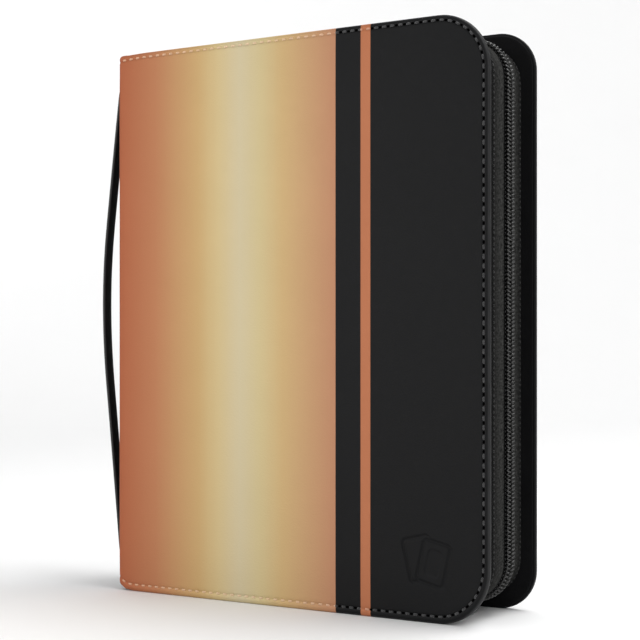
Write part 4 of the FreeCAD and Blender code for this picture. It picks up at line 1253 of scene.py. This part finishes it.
def pocket_page(node, body):
    """Nine pockets of clear film welded to a black backing, on both faces of the page."""
    low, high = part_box(node)
    width, height = high[0] - low[0], high[2] - low[2]
    middle, half = (low[1] + high[1]) / 2, (high[1] - low[1]) / 2
    cell = (width / 3, height / 3)
    welds = [0, 1.0, 1.8, 2.6, 4.2, 9.0]  # mm from a pocket's edge, closer where the film rises

    def lines(size):
        made = []
        for n in range(3):
            near = [n * size + w * MM for w in welds]
            far = [(n + 1) * size - w * MM for w in reversed(welds)]
            made += near + steps(near[-1], far[0], 12 * MM)[1:-1] + far[: -1 if n < 2 else None]
        return made

    def puff(a, b, face):
        u, v = a % cell[0], b % cell[1]
        edge = min(u, cell[0] - u, v, cell[1] - v)
        edge = min(edge, a, width - a, b, height - b)
        rise = smooth(0.9 * MM, 2.8 * MM, edge)
        pillow = math.sin(math.pi * u / cell[0]) * math.sin(math.pi * v / cell[1])
        crease = noise.noise(Vector((a * 55, b * 40, middle * 900 + face)))
        open_edge = 0.12 * smooth(5.2 * MM, 4.2 * MM, u) * rise
        return 0.2 * MM + (half - 0.3 * MM) * rise * (0.78 + 0.14 * pillow + 0.07 * crease - open_edge)

    flat, faces, loop = grid(lines(cell[0]), lines(cell[1]))
    outer = [Vector((low[0] + a, middle - puff(a, b, 0), low[2] + b)) for a, b in flat]
    inner = [Vector((low[0] + a, middle + puff(a, b, 5), low[2] + b)) for a, b in flat]
    points, faces = closed_sheet(outer, inner, faces, loop)
    piece(f"{node}_film", points, faces, "film", flat + flat, body, [node], "pocket_film")


# ---------------------------------------------------------------- build


def paint(prefixes, material):
    """Gives a material to every CAD node whose name starts in one of these ways."""
    for name, node in frame["nodes"].items():
        if not name.startswith(prefixes):
            continue
        if not node.material_slots:
            node.data.materials.append(None)
        for slot in node.material_slots:
            slot.link = "OBJECT"
            slot.material = MATERIAL[material]


def build():
    paint(("ring_", "mechanism_", "blade_", "lever_pin"), "nickel")
    paint(("front_zip_stops", "back_zip_stops"), "enamel")
    paint(("front_cover_board", "back_cover_board", "spine_board"), "board")
    paint(("page_", "resting_page_strips"), "strip")
    for side in ("front", "back"):
        cover_shell(side)
        cover_stitching(side)
        lining(side)
        fold_lining(side)
    spine_pieces()
    zip_and_gusset()
    slider_and_pull()
    webs()
    strap()
    bodies = frame["record"]["behaviour"]["bodies"]
    pages = {node: body for body, nodes in bodies.items() for node in nodes if "_pockets" in node}
    for node in sorted(pages):
        pocket_page(node, pages[node])


def studio_floor(turn):
    """A pale floor that sweeps up into a wall far behind."""
    ground = Shader("studio_floor", (0.86, 0.86, 0.86), 0.9, "object")
    shade = ground.noise(3.0, 2.0)
    ground.set("Base Color", ground.mix(shade, (0.86, 0.86, 0.86, 1), (0.88, 0.88, 0.88, 1)))
    profile = [(-6.0, 0.0), (2.0, 0.0)]
    profile += [(2.0 + 2.0 * math.sin(a), 2.0 - 2.0 * math.cos(a)) for a in steps(0.1, math.pi / 2, 0.1)]
    profile += [(4.0, 7.0)]
    points = [turn @ Vector((side, along, rise)) for along, rise in profile for side in (-7.0, 7.0)]
    faces = strips(0, len(profile), 2, closed=False)
    mesh = bpy.data.meshes.new("studio_floor")
    mesh.from_pydata([tuple(p) for p in points], [], faces)
    mesh.materials.append(ground.material)
    mesh.polygons.foreach_set("use_smooth", [True] * len(mesh.polygons))
    floor = bpy.data.objects.new("studio_floor", mesh)
    bpy.context.collection.objects.link(floor)


def stage():
    """The floor, an even pale world, soft lamps, and the camera."""
    studio_floor(Matrix.Rotation(math.radians(31.3), 3, "Z"))
    world = bpy.data.worlds.new("studio")
    world.use_nodes = True
    sky = world.node_tree.nodes["Background"].inputs
    sky["Color"].default_value = (1, 1, 1, 1)
    sky["Strength"].default_value = 0.6
    scene = bpy.context.scene
    scene.world = world
    scene.view_settings.view_transform = "Standard"

    def lamp(name, place, target, size, power):
        data = bpy.data.lights.new(name, "AREA")
        data.shape = "RECTANGLE"
        data.size, data.size_y = size
        data.energy = power
        made = bpy.data.objects.new(name, data)
        bpy.context.collection.objects.link(made)
        made.location = place
        aim = Vector(target) - Vector(place)
        made.rotation_euler = aim.to_track_quat("-Z", "Y").to_euler()

    lamp("key", (-1.5, -2.8, 0.48), (0, 0, 0.17), (2.2, 1.8), 37)
    lamp("fill", (1.4, -0.4, 1.2), (0, 0, 0.17), (0.7, 0.7), 4.5)
    lamp("top", (0.5, 0.3, 1.6), (0.05, 0, 0.2), (0.9, 0.9), 19)
    lamp("wall_left", (-3.2, 1.6, 2.6), (-3.4, 3.6, 0.9), (2.0, 2.0), 26)
    lamp("wall_right", (0.4, 2.2, 2.6), (-0.6, 3.9, 0.9), (2.0, 2.0), 26)

    camera_data = bpy.data.cameras.new("camera")
    camera_data.sensor_width = 36
    camera_data.lens = 83.7
    camera_data.shift_x = 0.003
    camera_data.shift_y = 0.0386
    camera = bpy.data.objects.new("camera", camera_data)
    bpy.context.collection.objects.link(camera)
    camera.location = (SPINE_X + WIDTH + 0.3479, FRONT_Y - 0.7542, 0.1582)
    camera.rotation_euler = Vector((-0.5195, 0.8545, 0)).to_track_quat("-Z", "Y").to_euler()
    camera_data.clip_start, camera_data.clip_end = 0.01, 50
    scene.camera = camera


build()
stage()
